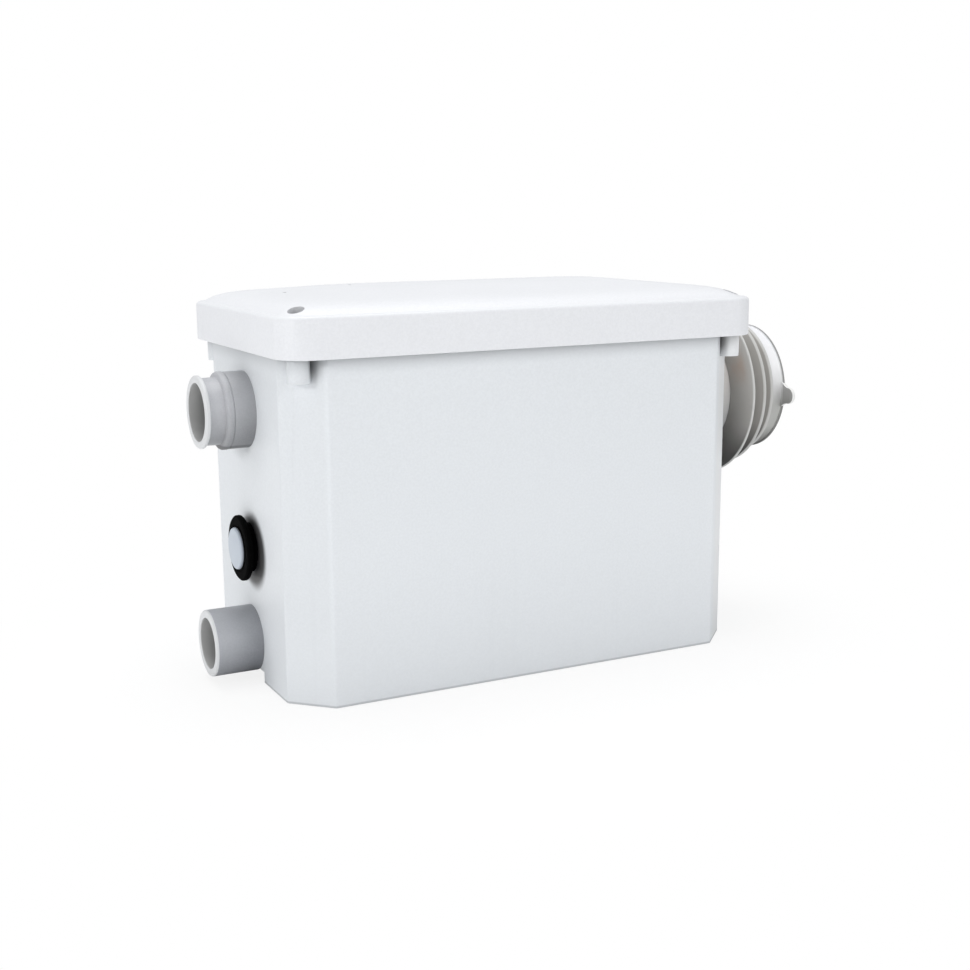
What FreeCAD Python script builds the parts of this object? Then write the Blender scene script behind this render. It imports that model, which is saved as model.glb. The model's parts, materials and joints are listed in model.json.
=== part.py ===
import FreeCAD, Part
import math
import os
import re

import Sketcher

# Sewage lifting station: slim tank with a lid, grinder pump, level switch, waste connections.
# X runs along the long side towards the toilet connector, -Y is the front, Z is up, the floor is Z = 0.

Vector = FreeCAD.Vector
Rotation = FreeCAD.Rotation
Placement = FreeCAD.Placement

doc = FreeCAD.newDocument("lifting_station")
dims = doc.addObject("Spreadsheet::Sheet", "dims")
places = doc.addObject("App::VarSet", "places")

# Driving sizes in millimetres.
DRIVING = {
    # Tank shell
    "tank_length": 347.0, "tank_depth": 189.0, "tank_height": 250.5, "side_draft": 1.8,
    "tank_wall": 3.5, "tank_chamfer": 25.0, "tank_edge_round": 2.5, "floor_clear": 7.5, "floor_wall": 3.0,
    "rim_thickness": 4.0, "rim_clearance": 0.5, "rim_chamfer": 29.0,
    # Screw bosses at the four corners
    "boss_inset_x": 8.5, "boss_inset_y": 9.0, "boss_radius": 7.5, "boss_drop": 14.0,
    "pilot_radius": 1.9, "pilot_depth": 26.0,
    # Lid
    "lid_end_overhang": 6.5, "lid_side_overhang": 8.0, "lid_skirt": 27.0, "lid_wall": 3.0, "lid_corner": 22.0,
    "lid_edge_round": 3.0, "crown_height": 12.4, "crown_corner": 18.0, "gasket_gap": 2.5,
    "recess_radius": 5.4, "recess_floor": 3.5, "recess_flare": 0.9,
    "recess_mouth_rise": 2.6, "screw_hole_radius": 2.3, "pillar_radius": 6.4,
    "cavity_corner": 50.0,
    # Lid gasket and lid screws
    "gasket_width": 5.0, "gasket_inset": 1.0, "gasket_chamfer": 32.3, "seat_gap": 0.3,
    "screw_head_radius": 4.2, "screw_head_height": 2.8, "screw_shank_radius": 1.75, "screw_length": 24.0,
    "cross_length": 5.0, "cross_width": 1.0, "cross_depth": 1.2,
    # Discharge spigot on the left end
    "discharge_drop": 41.2, "discharge_reach": 33.3, "discharge_collar_radius": 24.6,
    "discharge_collar_width": 3.2, "discharge_neck_radius": 22.6, "discharge_ring_radius": 26.4,
    "discharge_ring_width": 5.3, "discharge_body_radius": 26.0, "discharge_body_length": 14.7,
    "discharge_bore": 19.6, "discharge_thread_radius": 23.8, "discharge_nut_radius": 31.0,
    "discharge_nut_width": 7.0, "discharge_seal_width": 2.0, "hose_barb_radius": 10.5,
    "hose_barb_bore": 8.5, "hose_barb_length": 20.0, "discharge_seat": 26.0,
    # Waste inlet spigot on the left end
    "inlet_height": 27.5, "inlet_reach": 33.0, "inlet_radius": 23.0, "inlet_bore": 17.5,
    "inlet_neck_radius": 19.4, "inlet_neck_bore": 17.0, "inlet_notch_width": 41.0,
    "inlet_seat_depth": 10.0,
    # Non-return flaps
    "flap_thickness": 1.8, "flap_overlap": 1.6, "knuckle_radius": 1.9, "flap_pin_radius": 1.0,
    "pin_clearance": 0.05, "knuckle_width": 12.0, "seat_width": 2.5,
    "discharge_flap_radius": 15.0, "discharge_hinge_rise": 15.8, "discharge_pin_half": 10.3,
    "inlet_flap_radius": 13.2, "inlet_hinge_rise": 13.6, "inlet_pin_half": 9.7,
    "lug_half": 1.7, "lug_width": 2.6,
    # Plugged auxiliary inlet on the left end
    "plug_height": 92.0, "grommet_flange_radius": 22.7, "grommet_flange_width": 2.8,
    "grommet_neck_radius": 17.0, "grommet_standoff": 6.0, "grommet_bore": 13.5,
    "grommet_back_radius": 21.0, "grommet_back": 2.5, "plug_face_radius": 15.1, "plug_face_width": 2.6,
    "plug_depth": 20.0,
    "plug_wall": 2.0,
    # Toilet connection on the right end
    "stub_clearance": 7.1, "stub_radius": 44.4, "stub_wall": 3.0, "stub_reach": 40.0,
    "bellows_offset": 24.3, "rib_one_radius": 65.8, "rib_two_radius": 59.0, "rib_three_radius": 52.1,
    "sleeve_radius": 47.6, "rim_radius": 48.9, "rib_one_place": 7.9, "rib_two_place": 23.6,
    "rib_three_place": 35.8, "rim_place": 49.2, "rib_land": 2.3, "valley_one_radius": 53.0,
    "valley_two_radius": 48.5, "bellows_root": 2.0, "grip_length": 12.0, "bellows_wall": 1.5,
    "rim_bead": 1.6, "tab_reach": 16.5, "tab_width": 12.4, "tab_thickness": 2.7,
    # Motor deck on its rails
    "deck_drop": 35.5, "deck_thickness": 3.5, "deck_left": 80.0, "rail_width": 8.0, "rail_depth": 6.0,
    "deck_screw_inset": 8.0, "deck_screw_radius": 1.5, "deck_screw_head": 3.4,
    "deck_screw_head_height": 2.4, "deck_screw_length": 8.0,
    # Motor
    "motor_place": 60.0, "motor_radius": 50.0, "can_wall": 2.5, "motor_height": 89.5,
    "motor_base_height": 12.0, "bearing_radius": 16.0, "bearing_width": 10.0, "bearing_boss_wall": 3.0,
    "shaft_radius": 6.0, "running_gap": 0.04, "press_gap": 0.05, "stator_bore": 26.5,
    "stator_height": 40.0, "winding_height": 8.0, "winding_gap": 4.5, "air_gap": 0.5, "seal_radius": 14.0,
    "motor_screw_place": 29.7, "motor_screw_radius": 2.0, "motor_screw_head": 4.0,
    "motor_screw_length": 10.0, "screw_clearance": 0.15,
    # Pump and grinder
    "casing_radius": 55.0, "casing_wall": 3.0, "casing_height": 28.0, "cover_thickness": 3.0,
    "eye_radius": 16.0, "impeller_radius": 40.0, "impeller_disc": 3.0, "impeller_floor_gap": 2.5,
    "vane_height": 16.0, "vane_width": 3.0, "hub_radius": 10.0, "outlet_height": 26.0,
    "outlet_length": 24.0, "basket_radius": 76.0, "basket_wall": 2.5, "basket_gap": 9.5,
    "basket_slot_width": 6.0, "basket_slot_height": 62.0, "cutter_length": 132.0, "cutter_width": 16.0,
    "cutter_thickness": 3.0, "cutter_tip_height": 14.0, "cutter_gap": 4.5,
    "shaft_collar": 9.0, "blade_nut_height": 6.0, "basket_lip": 3.0, "basket_lip_height": 2.0,
    "slot_lift": 9.0,
    # Riser hose to the discharge
    "riser_place": 61.5, "riser_radius": 13.2, "riser_bore": 10.7, "riser_bend": 24.0,
    "riser_overlap": 18.0, "clip_width": 8.0, "clip_thickness": 1.2,
    # Level switch
    "switch_place_x": 45.0, "switch_place_y": 55.0, "bell_radius": 13.0, "bell_wall": 2.0,
    "bell_floor_gap": 3.5, "chamber_radius": 24.0, "chamber_height": 4.0, "diaphragm_thickness": 1.5,
    "chamber_cap_height": 8.0, "plunger_radius": 3.0, "plunger_rise": 4.0, "switch_length": 28.0,
    "switch_depth": 10.0, "switch_body_height": 16.0, "button_radius": 1.4, "button_height": 2.0,
    "button_stroke_room": 3.0, "bracket_thickness": 3.0, "plunger_foot_radius": 8.0,
    "plunger_foot_height": 1.5, "cap_wall": 4.0, "cap_top_wall": 3.5,
    # Electrical pieces on the deck
    "capacitor_radius": 17.0, "capacitor_length": 62.0, "capacitor_place": 16.0, "saddle_thickness": 2.0,
    "terminal_length": 34.0, "terminal_depth": 60.0, "terminal_height": 28.0, "terminal_wall": 2.0,
    # Cable gland on the back
    "gland_place": 60.0, "gland_drop": 24.0, "gland_radius": 9.5, "gland_reach": 16.0,
    "gland_thread_radius": 6.0, "gland_bore": 3.9, "gland_nut_width": 5.0,
    "gland_thread_length": 12.0,
    # Vent cartridge under the lid
    "vent_place_x": 63.25, "vent_place_y": 5.0, "vent_length": 54.0, "vent_depth": 32.0,
    "vent_height": 14.0, "vent_wall": 2.0, "vent_boss_drop": 8.0,
    "vent_hole_radius": 1.0, "vent_hole_place": 23.75,
    # Chute from the toilet connection to the basket
    "chute_thickness": 2.5, "chute_end": 134.0, "chute_overlap": 26.0,
}

# Places and sizes that follow from the driving ones.
DERIVED = {
    "half_length": "tank_length / 2",
    "half_depth": "tank_depth / 2",
    "foot_half_depth": "half_depth - side_draft",
    "chamfer_run": "half_length - tank_chamfer",
    "chamfer_rise": "half_depth - tank_chamfer",
    "foot_chamfer_rise": "foot_half_depth - tank_chamfer",
    "inner_chamfer": "tank_chamfer - 0.586 * tank_wall",
    "inner_half_length": "half_length - tank_wall",
    "inner_half_depth": "half_depth - tank_wall",
    "inner_foot_half_depth": "foot_half_depth - tank_wall",
    "inner_run": "inner_half_length - inner_chamfer",
    "inner_rise": "inner_half_depth - inner_chamfer",
    "inner_foot_rise": "inner_foot_half_depth - inner_chamfer",
    "floor_top": "floor_clear + floor_wall",
    "lid_ceiling": "tank_height + gasket_gap",
    "rim_plane": "lid_ceiling + lid_wall",
    "lid_edge": "rim_plane - lid_skirt",
    "boss_bottom": "lid_edge - boss_drop",
    "boss_x": "half_length - boss_inset_x",
    "boss_y": "half_depth - boss_inset_y",
    "lid_half_length": "half_length + lid_end_overhang",
    "lid_half_depth": "half_depth + lid_side_overhang",
    "rim_half_length": "lid_half_length - lid_wall - rim_clearance",
    "rim_half_depth": "lid_half_depth - lid_wall - rim_clearance",
    "wc_height": "lid_edge - stub_clearance - stub_radius",
    "discharge_height": "lid_edge - discharge_drop",
    "gland_height": "lid_edge - gland_drop",
    "deck_height": "wc_height - deck_drop",
    "rim_corner": "lid_corner - lid_wall - rim_clearance",
    "recess_level": "rim_plane - recess_floor",
    "barb_end": "tank_wall + discharge_seal_width + discharge_nut_width + hose_barb_length",
    "deck_top": "deck_height + deck_thickness",
    "deck_half_depth": "inner_foot_half_depth - seat_gap",
    "deck_right": "motor_place + motor_radius + 2",
    "deck_screw_y": "inner_foot_half_depth - rail_width / 2",
    "deck_screw_left": "- deck_left + deck_screw_inset",
    "deck_screw_right": "deck_right - deck_screw_inset",
    "motor_screw_left": "motor_place - motor_screw_place",
    "motor_screw_right": "motor_place + motor_screw_place",
    "motor_top": "deck_top + motor_height",
    "base_top": "deck_top + motor_base_height",
    "upper_bearing_base": "motor_top - can_wall - bearing_width - seat_gap",
    "stator_base": "base_top + winding_height + 2",
    "winding_radius": "motor_radius - can_wall - winding_gap",
    "casing_top": "floor_top + casing_height",
    "cover_top": "casing_top + cover_thickness",
    "basket_height": "deck_height - basket_gap - cover_top",
    "impeller_base": "floor_top + casing_wall + impeller_floor_gap",
    "basket_floor": "cover_top + basket_wall",
    "cutter_base": "basket_floor + cutter_gap",
    "outlet_end": "motor_place - casing_radius - outlet_length",
    "riser_x": "half_length - riser_place",
    "riser_start": "outlet_end + riser_overlap",
    "riser_top_end": "half_length - barb_end + riser_overlap",
    "bell_bottom": "floor_top + bell_floor_gap",
    "chamber_top": "deck_top + chamber_height",
    "cap_base": "chamber_top + diaphragm_thickness",
    "cap_top": "cap_base + chamber_cap_height",
    "plunger_top": "cap_top + plunger_rise",
    "switch_base": "plunger_top + button_height",
    "bellows_start": "half_length + bellows_offset",
    "vent_top": "lid_ceiling - vent_boss_drop",
    "notch_half": "inlet_notch_width / 2",
    "gland_x": "- gland_place",
    "rim_run": "inner_half_length - rim_chamfer",
    "rim_rise": "inner_half_depth - rim_chamfer",
    "pillar_bottom": "tank_height + seat_gap",
    "gasket_half_length": "inner_half_length + gasket_inset + gasket_width",
    "gasket_half_depth": "inner_half_depth + gasket_inset + gasket_width",
    "gasket_run": "gasket_half_length - gasket_chamfer",
    "gasket_rise": "gasket_half_depth - gasket_chamfer",
    "gasket_inner_length": "gasket_half_length - gasket_width",
    "gasket_inner_depth": "gasket_half_depth - gasket_width",
    "gasket_inner_run": "gasket_run - 0.414 * gasket_width",
    "gasket_inner_rise": "gasket_rise - 0.414 * gasket_width",
    "head_top": "recess_level + screw_head_height",
    "discharge_ring_end": "barb_end + discharge_body_length + discharge_ring_width",
    "discharge_end": "barb_end + discharge_reach",
    "discharge_seat_bore": "discharge_flap_radius - flap_overlap",
    "discharge_flap_x": "- half_length + barb_end - discharge_seat - seat_width - seat_gap",
    "discharge_hinge_x": "discharge_flap_x - knuckle_radius",
    "inlet_seat": "tank_wall + inlet_seat_depth",
    "inlet_seat_bore": "inlet_flap_radius - flap_overlap",
    "inlet_flap_x": "- inner_half_length - inlet_seat + seat_gap + flap_thickness",
    "inlet_hinge_x": "inlet_flap_x - flap_thickness + knuckle_radius",
    "plug_stem": "grommet_bore - press_gap",
    "plug_x": "- half_length - grommet_standoff - grommet_flange_width + plug_depth",
    "vent_x": "lid_half_length - vent_place_x",
    "vent_left": "- vent_x - vent_length / 2",
    "vent_right": "- vent_x + vent_length / 2",
    "vent_front": "vent_place_y - vent_depth / 2",
    "vent_back": "vent_place_y + vent_depth / 2",
    "shaft_top": "motor_top - can_wall - 1.5",
    "gland_nut_place": "inner_half_depth - 2 * seat_gap - gland_nut_width",
}


def fill_sheets():
    """Writes the driving sizes into the sheet and the derived ones into the variable set."""
    for row, (name, number) in enumerate(DRIVING.items(), start=1):
        dims.set(f"A{row}", name)
        dims.set(f"B{row}", str(number))
        dims.setAlias(f"B{row}", name)
    doc.recompute()
    for name, formula in DERIVED.items():
        places.addProperty("App::PropertyFloat", name)
        places.setExpression(name, linked(formula))
    doc.recompute()


def linked(formula):
    """Adds the owning object's name to each size in a formula."""
    def owner(match):
        word = match.group(0)
        if word in DRIVING:
            return "dims." + word
        if word in DERIVED:
            return "places." + word
        return word
    return re.sub(r"[a-z_]+", owner, formula)


def size(name):
    """Reads one named size as a number."""
    if name in DRIVING:
        return float(getattr(dims, name))
    return float(getattr(places, name))


def total(formula):
    """Works out a formula of named sizes and numbers without brackets."""
    result, term, action = 0.0, 0.0, "+"
    for word in formula.split():
        if word in "+-*/":
            action = word
            continue
        number = size(word) if word[0].isalpha() else float(word)
        if action == "*":
            term *= number
        elif action == "/":
            term /= number
        else:
            result += term
            term = -number if action == "-" else number
        action = "+"
    return result + term


NODES = []


def node(item, label):
    """Names a finished piece and lists it for the STEP export."""
    item.Label = label
    NODES.append(item)
    return item


def place(item, x="0", y="0", z="0", turn=None):
    """Puts a piece at a place given by formulas, turned by a fixed rotation."""
    if turn is not None:
        item.Placement = Placement(Vector(), turn)
    for axis, formula in zip("xyz", (x, y, z)):
        item.setExpression(f".Placement.Base.{axis}", linked(formula))
    return item


TOWARDS_LEFT = Rotation(Vector(0, 1, 0), -90)
TOWARDS_RIGHT = Rotation(Vector(0, 1, 0), 90)
TOWARDS_BACK = Rotation(Vector(1, 0, 0), -90)
UPRIGHT = Rotation()


def origin_plane(body, role):
    """Finds one of a body's own origin planes."""
    for feature in body.Origin.OriginFeatures:
        if feature.Role == role:
            return feature
    return None


def sketch_on(body, role, lift="0"):
    """Starts a sketch on an origin plane of the body, lifted off it by a formula."""
    sketch = body.newObject("Sketcher::SketchObject", body.Name + "_sketch")
    sketch.AttachmentSupport = [(origin_plane(body, role), "")]
    sketch.MapMode = "FlatFace"
    if lift != "0":
        sketch.setExpression(".AttachmentOffset.Base.z", linked(lift))
    return sketch


def fix_point(sketch, geometry, end, x, y):
    """Ties one end of a line to two formulas measured from the sketch's origin."""
    for kind, formula in (("DistanceX", x), ("DistanceY", y)):
        index = sketch.addConstraint(
            Sketcher.Constraint(kind, -1, 1, geometry, end, total(formula)))
        if any(letter.isalpha() for letter in formula):
            sketch.setExpression(f"Constraints[{index}]", linked(formula))


def outline(sketch, points):
    """Draws a closed outline of straight lines through points given as pairs of formulas."""
    spots = [Vector(total(x), total(y), 0) for x, y in points]
    first = sketch.GeometryCount
    count = len(points)
    for index in range(count):
        line = Part.LineSegment(spots[index], spots[(index + 1) % count])
        sketch.addGeometry(line, False)
    for index in range(count):
        following = first + (index + 1) % count
        sketch.addConstraint(Sketcher.Constraint("Coincident", first + index, 2, following, 1))
    for index, (x, y) in enumerate(points):
        fix_point(sketch, first + index, 1, x, y)


def circle(sketch, radius, x="0", y="0"):
    """Draws a circle with its centre and radius tied to formulas."""
    spot = Vector(total(x), total(y), 0)
    index = sketch.addGeometry(Part.Circle(spot, Vector(0, 0, 1), total(radius)), False)
    fix_point(sketch, index, 3, x, y)
    tie = sketch.addConstraint(Sketcher.Constraint("Radius", index, total(radius)))
    sketch.setExpression(f"Constraints[{tie}]", linked(radius))


def rounded_rectangle(sketch, half_x, half_y, radius):
    """Draws a rectangle about the origin with equal round corners."""
    corners = [(1, -1), (1, 1), (-1, 1), (-1, -1)]
    wide, deep, corner = total(half_x), total(half_y), total(radius)
    arcs = []
    for index, (side_x, side_y) in enumerate(corners):
        centre = Vector(side_x * (wide - corner), side_y * (deep - corner), 0)
        start = math.radians(-90 + 90 * index)
        ring = Part.Circle(centre, Vector(0, 0, 1), corner)
        arcs.append(sketch.addGeometry(Part.ArcOfCircle(ring, start, start + math.pi / 2), False))
    lines = []
    for index in range(4):
        start = sketch.getPoint(arcs[index], 2)
        finish = sketch.getPoint(arcs[(index + 1) % 4], 1)
        lines.append(sketch.addGeometry(Part.LineSegment(start, finish), False))
    for index in range(4):
        following = arcs[(index + 1) % 4]
        sketch.addConstraint(Sketcher.Constraint("Tangent", arcs[index], 2, lines[index], 1))
        sketch.addConstraint(Sketcher.Constraint("Tangent", lines[index], 2, following, 1))
    for index in range(1, 4):
        sketch.addConstraint(Sketcher.Constraint("Equal", arcs[0], arcs[index]))
    for index, line in enumerate(lines):
        kind = "Horizontal" if index % 2 else "Vertical"
        sketch.addConstraint(Sketcher.Constraint(kind, line))
    ties = [("Radius", (arcs[0],), corner, radius),
            ("DistanceX", (-1, 1, lines[0], 1), wide, half_x),
            ("DistanceY", (-1, 1, lines[1], 1), deep, half_y),
            ("DistanceX", (lines[2], 1, -1, 1), wide, half_x),
            ("DistanceY", (lines[3], 1, -1, 1), deep, half_y)]
    for kind, ends, number, formula in ties:
        index = sketch.addConstraint(Sketcher.Constraint(kind, *ends, number))
        sketch.setExpression(f"Constraints[{index}]", linked(formula))


def octagon(half_x, half_y, run, rise):
    """Corner points of a rectangle whose four corners are cut off at a slant."""
    right, front = half_x, "- " + half_y
    left, back = "- " + half_x, half_y
    return [(run, front), (right, "- " + rise), (right, rise), (run, back),
            ("- " + run, back), (left, rise), (left, "- " + rise), ("- " + run, front)]


def pad(body, sketch, length, backwards=False):
    """Extrudes a sketch into material."""
    feature = body.newObject("PartDesign::Pad", body.Name + "_pad")
    feature.Profile = sketch
    feature.setExpression("Length", linked(length))
    feature.Reversed = backwards
    return feature


def pocket(body, sketch, length, backwards=False):
    """Cuts a sketch out of the material, and checks that it took something away."""
    doc.recompute()
    before = body.Shape.Volume
    feature = body.newObject("PartDesign::Pocket", body.Name + "_pocket")
    feature.Profile = sketch
    feature.setExpression("Length", linked(length))
    feature.Reversed = backwards
    doc.recompute()
    if body.Shape.Volume >= before - 1e-6:
        raise RuntimeError(body.Name + ": a pocket cut nothing")
    return feature


def loft(body, sketches, kind="PartDesign::AdditiveLoft", ruled=False):
    """Joins sketches on parallel planes into one form, added or cut away."""
    feature = body.newObject(kind, body.Name + "_loft")
    feature.Profile = sketches[0]
    feature.Sections = sketches[1:]
    feature.Ruled = ruled
    return feature


def dress(body, base, picked, reach, kind="Fillet"):
    """Rounds or chamfers the edges that a test picks from the feature's shape."""
    doc.recompute()
    names = [f"Edge{index}" for index, edge in enumerate(base.Shape.Edges, start=1) if picked(edge)]
    feature = body.newObject("PartDesign::" + kind, body.Name + "_" + kind.lower())
    feature.Base = (base, names)
    feature.setExpression("Radius" if kind == "Fillet" else "Size", linked(reach))
    return feature


def spun(label, profile, at=("0", "0", "0"), turn=UPRIGHT):
    """Spins a closed profile of (radius, height) formulas round the form's own Z axis."""
    body = doc.addObject("PartDesign::Body", label + "_body")
    sketch = sketch_on(body, "XZ_Plane")
    outline(sketch, profile)
    spin = body.newObject("PartDesign::Revolution", label + "_turned")
    spin.Profile = sketch
    spin.ReferenceAxis = (sketch, ["V_Axis"])
    spin.Angle = 360.0
    return place(body, *at, turn=turn)


def turned(label, profile, at=("0", "0", "0"), turn=UPRIGHT):
    """A piece that is one turned form."""
    return node(spun(label, profile, at, turn), label)


def around(body, feature, sketch, count):
    """Repeats a feature round the axis of its sketch's own origin."""
    pattern = body.newObject("PartDesign::PolarPattern", body.Name + "_pattern")
    pattern.Originals = [feature]
    pattern.Axis = (origin_plane(body, "Z_Axis"), [""])
    pattern.Angle = 360.0
    pattern.Occurrences = count
    body.Tip = pattern
    return pattern


def ring_profile(inner, outer, low, high):
    """Profile of a plain ring or tube."""
    return [(inner, low), (outer, low), (outer, high), (inner, high)]


def box(name, length, depth, height, x, y, z):
    """A block with its low corner at a place."""
    item = doc.addObject("Part::Box", name)
    for prop, formula in (("Length", length), ("Width", depth), ("Height", height)):
        item.setExpression(prop, linked(formula))
    return place(item, x, y, z)


def rod(name, radius, length, x="0", y="0", z="0", turn=UPRIGHT):
    """A plain cylinder."""
    item = doc.addObject("Part::Cylinder", name)
    item.setExpression("Radius", linked(radius))
    item.setExpression("Height", linked(length))
    return place(item, x, y, z, turn)


def joined(name, pieces):
    """Fuses pieces that are moulded as one."""
    item = doc.addObject("Part::MultiFuse", name)
    item.Shapes = pieces
    return item


def cut(name, base, tool):
    """Takes one form out of another."""
    item = doc.addObject("Part::Cut", name)
    item.Base = base
    item.Tool = tool
    return item


def grouped(name, pieces):
    """Keeps equal loose pieces together as one node of separate solids."""
    item = doc.addObject("Part::Compound", name)
    item.Links = pieces
    return item


def corner_places(x, y):
    """The four sign pairs of a centred rectangle, as formulas."""
    return [(sx + x, sy + y) for sx in ("", "- ") for sy in ("", "- ")]


def make_tank():
    """Tank shell with chamfered corners, raised floor, rim flange, screw bosses and toilet stub."""
    body = doc.addObject("PartDesign::Body", "tank_body")
    section = sketch_on(body, "YZ_Plane", "- half_length")
    outline(section, [("- foot_half_depth", "0"), ("foot_half_depth", "0"),
                      ("half_depth", "tank_height"), ("- half_depth", "tank_height")])
    block = pad(body, section, "tank_length")
    upright_length = 0.8 * size("tank_height")
    corners = dress(body, block, lambda edge: edge.BoundBox.ZLength > upright_length,
                    "tank_chamfer", "Chamfer")
    dress(body, corners, lambda edge: edge.BoundBox.ZLength > upright_length, "tank_edge_round")

    bosses = sketch_on(body, "XY_Plane", "boss_bottom")
    for x, y in corner_places("boss_x", "boss_y"):
        circle(bosses, "boss_radius", x, y)
    pad(body, bosses, "tank_height - boss_bottom")

    stub = sketch_on(body, "YZ_Plane", "half_length - tank_wall")
    circle(stub, "stub_radius", "0", "wc_height")
    pad(body, stub, "stub_reach + tank_wall")

    cavity_foot = sketch_on(body, "XY_Plane", "floor_top")
    outline(cavity_foot, octagon("inner_half_length", "inner_foot_half_depth", "inner_run",
                                 "inner_foot_rise"))
    cavity_mouth = sketch_on(body, "XY_Plane", "tank_height")
    outline(cavity_mouth, octagon("inner_half_length", "inner_half_depth", "inner_run", "inner_rise"))
    loft(body, [cavity_foot, cavity_mouth], "PartDesign::SubtractiveLoft", ruled=True)

    rim = sketch_on(body, "XY_Plane", "tank_height - rim_thickness")
    rounded_rectangle(rim, "rim_half_length", "rim_half_depth", "rim_corner")
    outline(rim, octagon("inner_half_length", "inner_half_depth", "rim_run", "rim_rise"))
    pad(body, rim, "rim_thickness")

    skirt = sketch_on(body, "XY_Plane")
    outline(skirt, octagon("inner_half_length", "inner_foot_half_depth", "inner_run",
                           "inner_foot_rise"))
    pocket(body, skirt, "floor_clear", backwards=True)

    rails = sketch_on(body, "XY_Plane", "deck_height - rail_depth")
    for side in ("", "- "):
        edge = side + "foot_half_depth"
        inner = edge + (" - " if side == "" else " + ") + "tank_wall"
        lip = inner + (" - " if side == "" else " + ") + "rail_width"
        ends = [("- deck_left", edge), ("deck_right", edge), ("deck_right", lip), ("- deck_left", lip)]
        outline(rails, ends)
    pad(body, rails, "rail_depth")

    bore = sketch_on(body, "YZ_Plane", "half_length - 2 * tank_wall")
    circle(bore, "stub_radius - stub_wall", "0", "wc_height")
    pocket(body, bore, "stub_reach + 3 * tank_wall", backwards=True)

    ports = sketch_on(body, "YZ_Plane", "- half_length - 1")
    circle(ports, "discharge_thread_radius + press_gap", "0", "discharge_height")
    circle(ports, "grommet_neck_radius + press_gap", "0", "plug_height")
    circle(ports, "inlet_neck_radius + press_gap", "0", "inlet_height")
    pocket(body, ports, "tank_wall + 2", backwards=True)

    notch = sketch_on(body, "YZ_Plane", "- half_length - 1")
    outline(notch, [("- notch_half", "- 1"), ("notch_half", "- 1"), ("notch_half", "floor_clear"),
                    ("- notch_half", "floor_clear")])
    pocket(body, notch, "tank_wall + 2", backwards=True)

    gland_hole = sketch_on(body, "XZ_Plane", "- half_depth - 1")
    circle(gland_hole, "gland_thread_radius + press_gap", "gland_x", "gland_height")
    pocket(body, gland_hole, "tank_wall + side_draft + 2", backwards=True)

    pilots = sketch_on(body, "XY_Plane", "tank_height")
    for x, y in corner_places("boss_x", "boss_y"):
        circle(pilots, "pilot_radius", x, y)
    pocket(body, pilots, "pilot_depth")

    rail_pilots = sketch_on(body, "XY_Plane", "deck_height")
    for x in ("deck_screw_left", "deck_screw_right"):
        for side in ("", "- "):
            circle(rail_pilots, "deck_screw_radius + screw_clearance", x, side + "deck_screw_y")
    pocket(body, rail_pilots, "rail_depth - 1")
    return node(body, "tank")


def crown_sections(body, inner, drop, corner):
    """Round-cornered outlines that climb from the lid's edge over a slope to its gentle crown."""
    steps = [(4.4, -0.05), (8.0, 0.17), (12.0, 0.33), (17.0, 0.46), (23.0, 0.555), (30.0, 0.625),
             (40.0, 0.70), (52.0, 0.80), (66.0, 0.92), (80.0, 1.0)]
    sketches = []
    for inset, share in steps:
        level = f"rim_plane + {share} * crown_height - {drop}"
        sketch = sketch_on(body, "XY_Plane", level)
        rounded_rectangle(sketch, f"lid_half_length - {inset} - {inner}",
                          f"lid_half_depth - {inset} - {inner}", f"{corner[0]} - {corner[1]} * {inset}")
        sketches.append(sketch)
    return sketches


def vent_ring(body, left, level, height):
    """Rectangular frame wall under the lid, from a level up to the crown."""
    frame = sketch_on(body, "XY_Plane", level)
    for wall in ("", " + vent_wall"):
        less = wall.replace("+", "-")
        outline(frame, [(left + wall, "vent_front" + wall), ("vent_right" + less, "vent_front" + wall),
                        ("vent_right" + less, "vent_back" + less), (left + wall, "vent_back" + less)])
    pad(body, frame, height)


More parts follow.
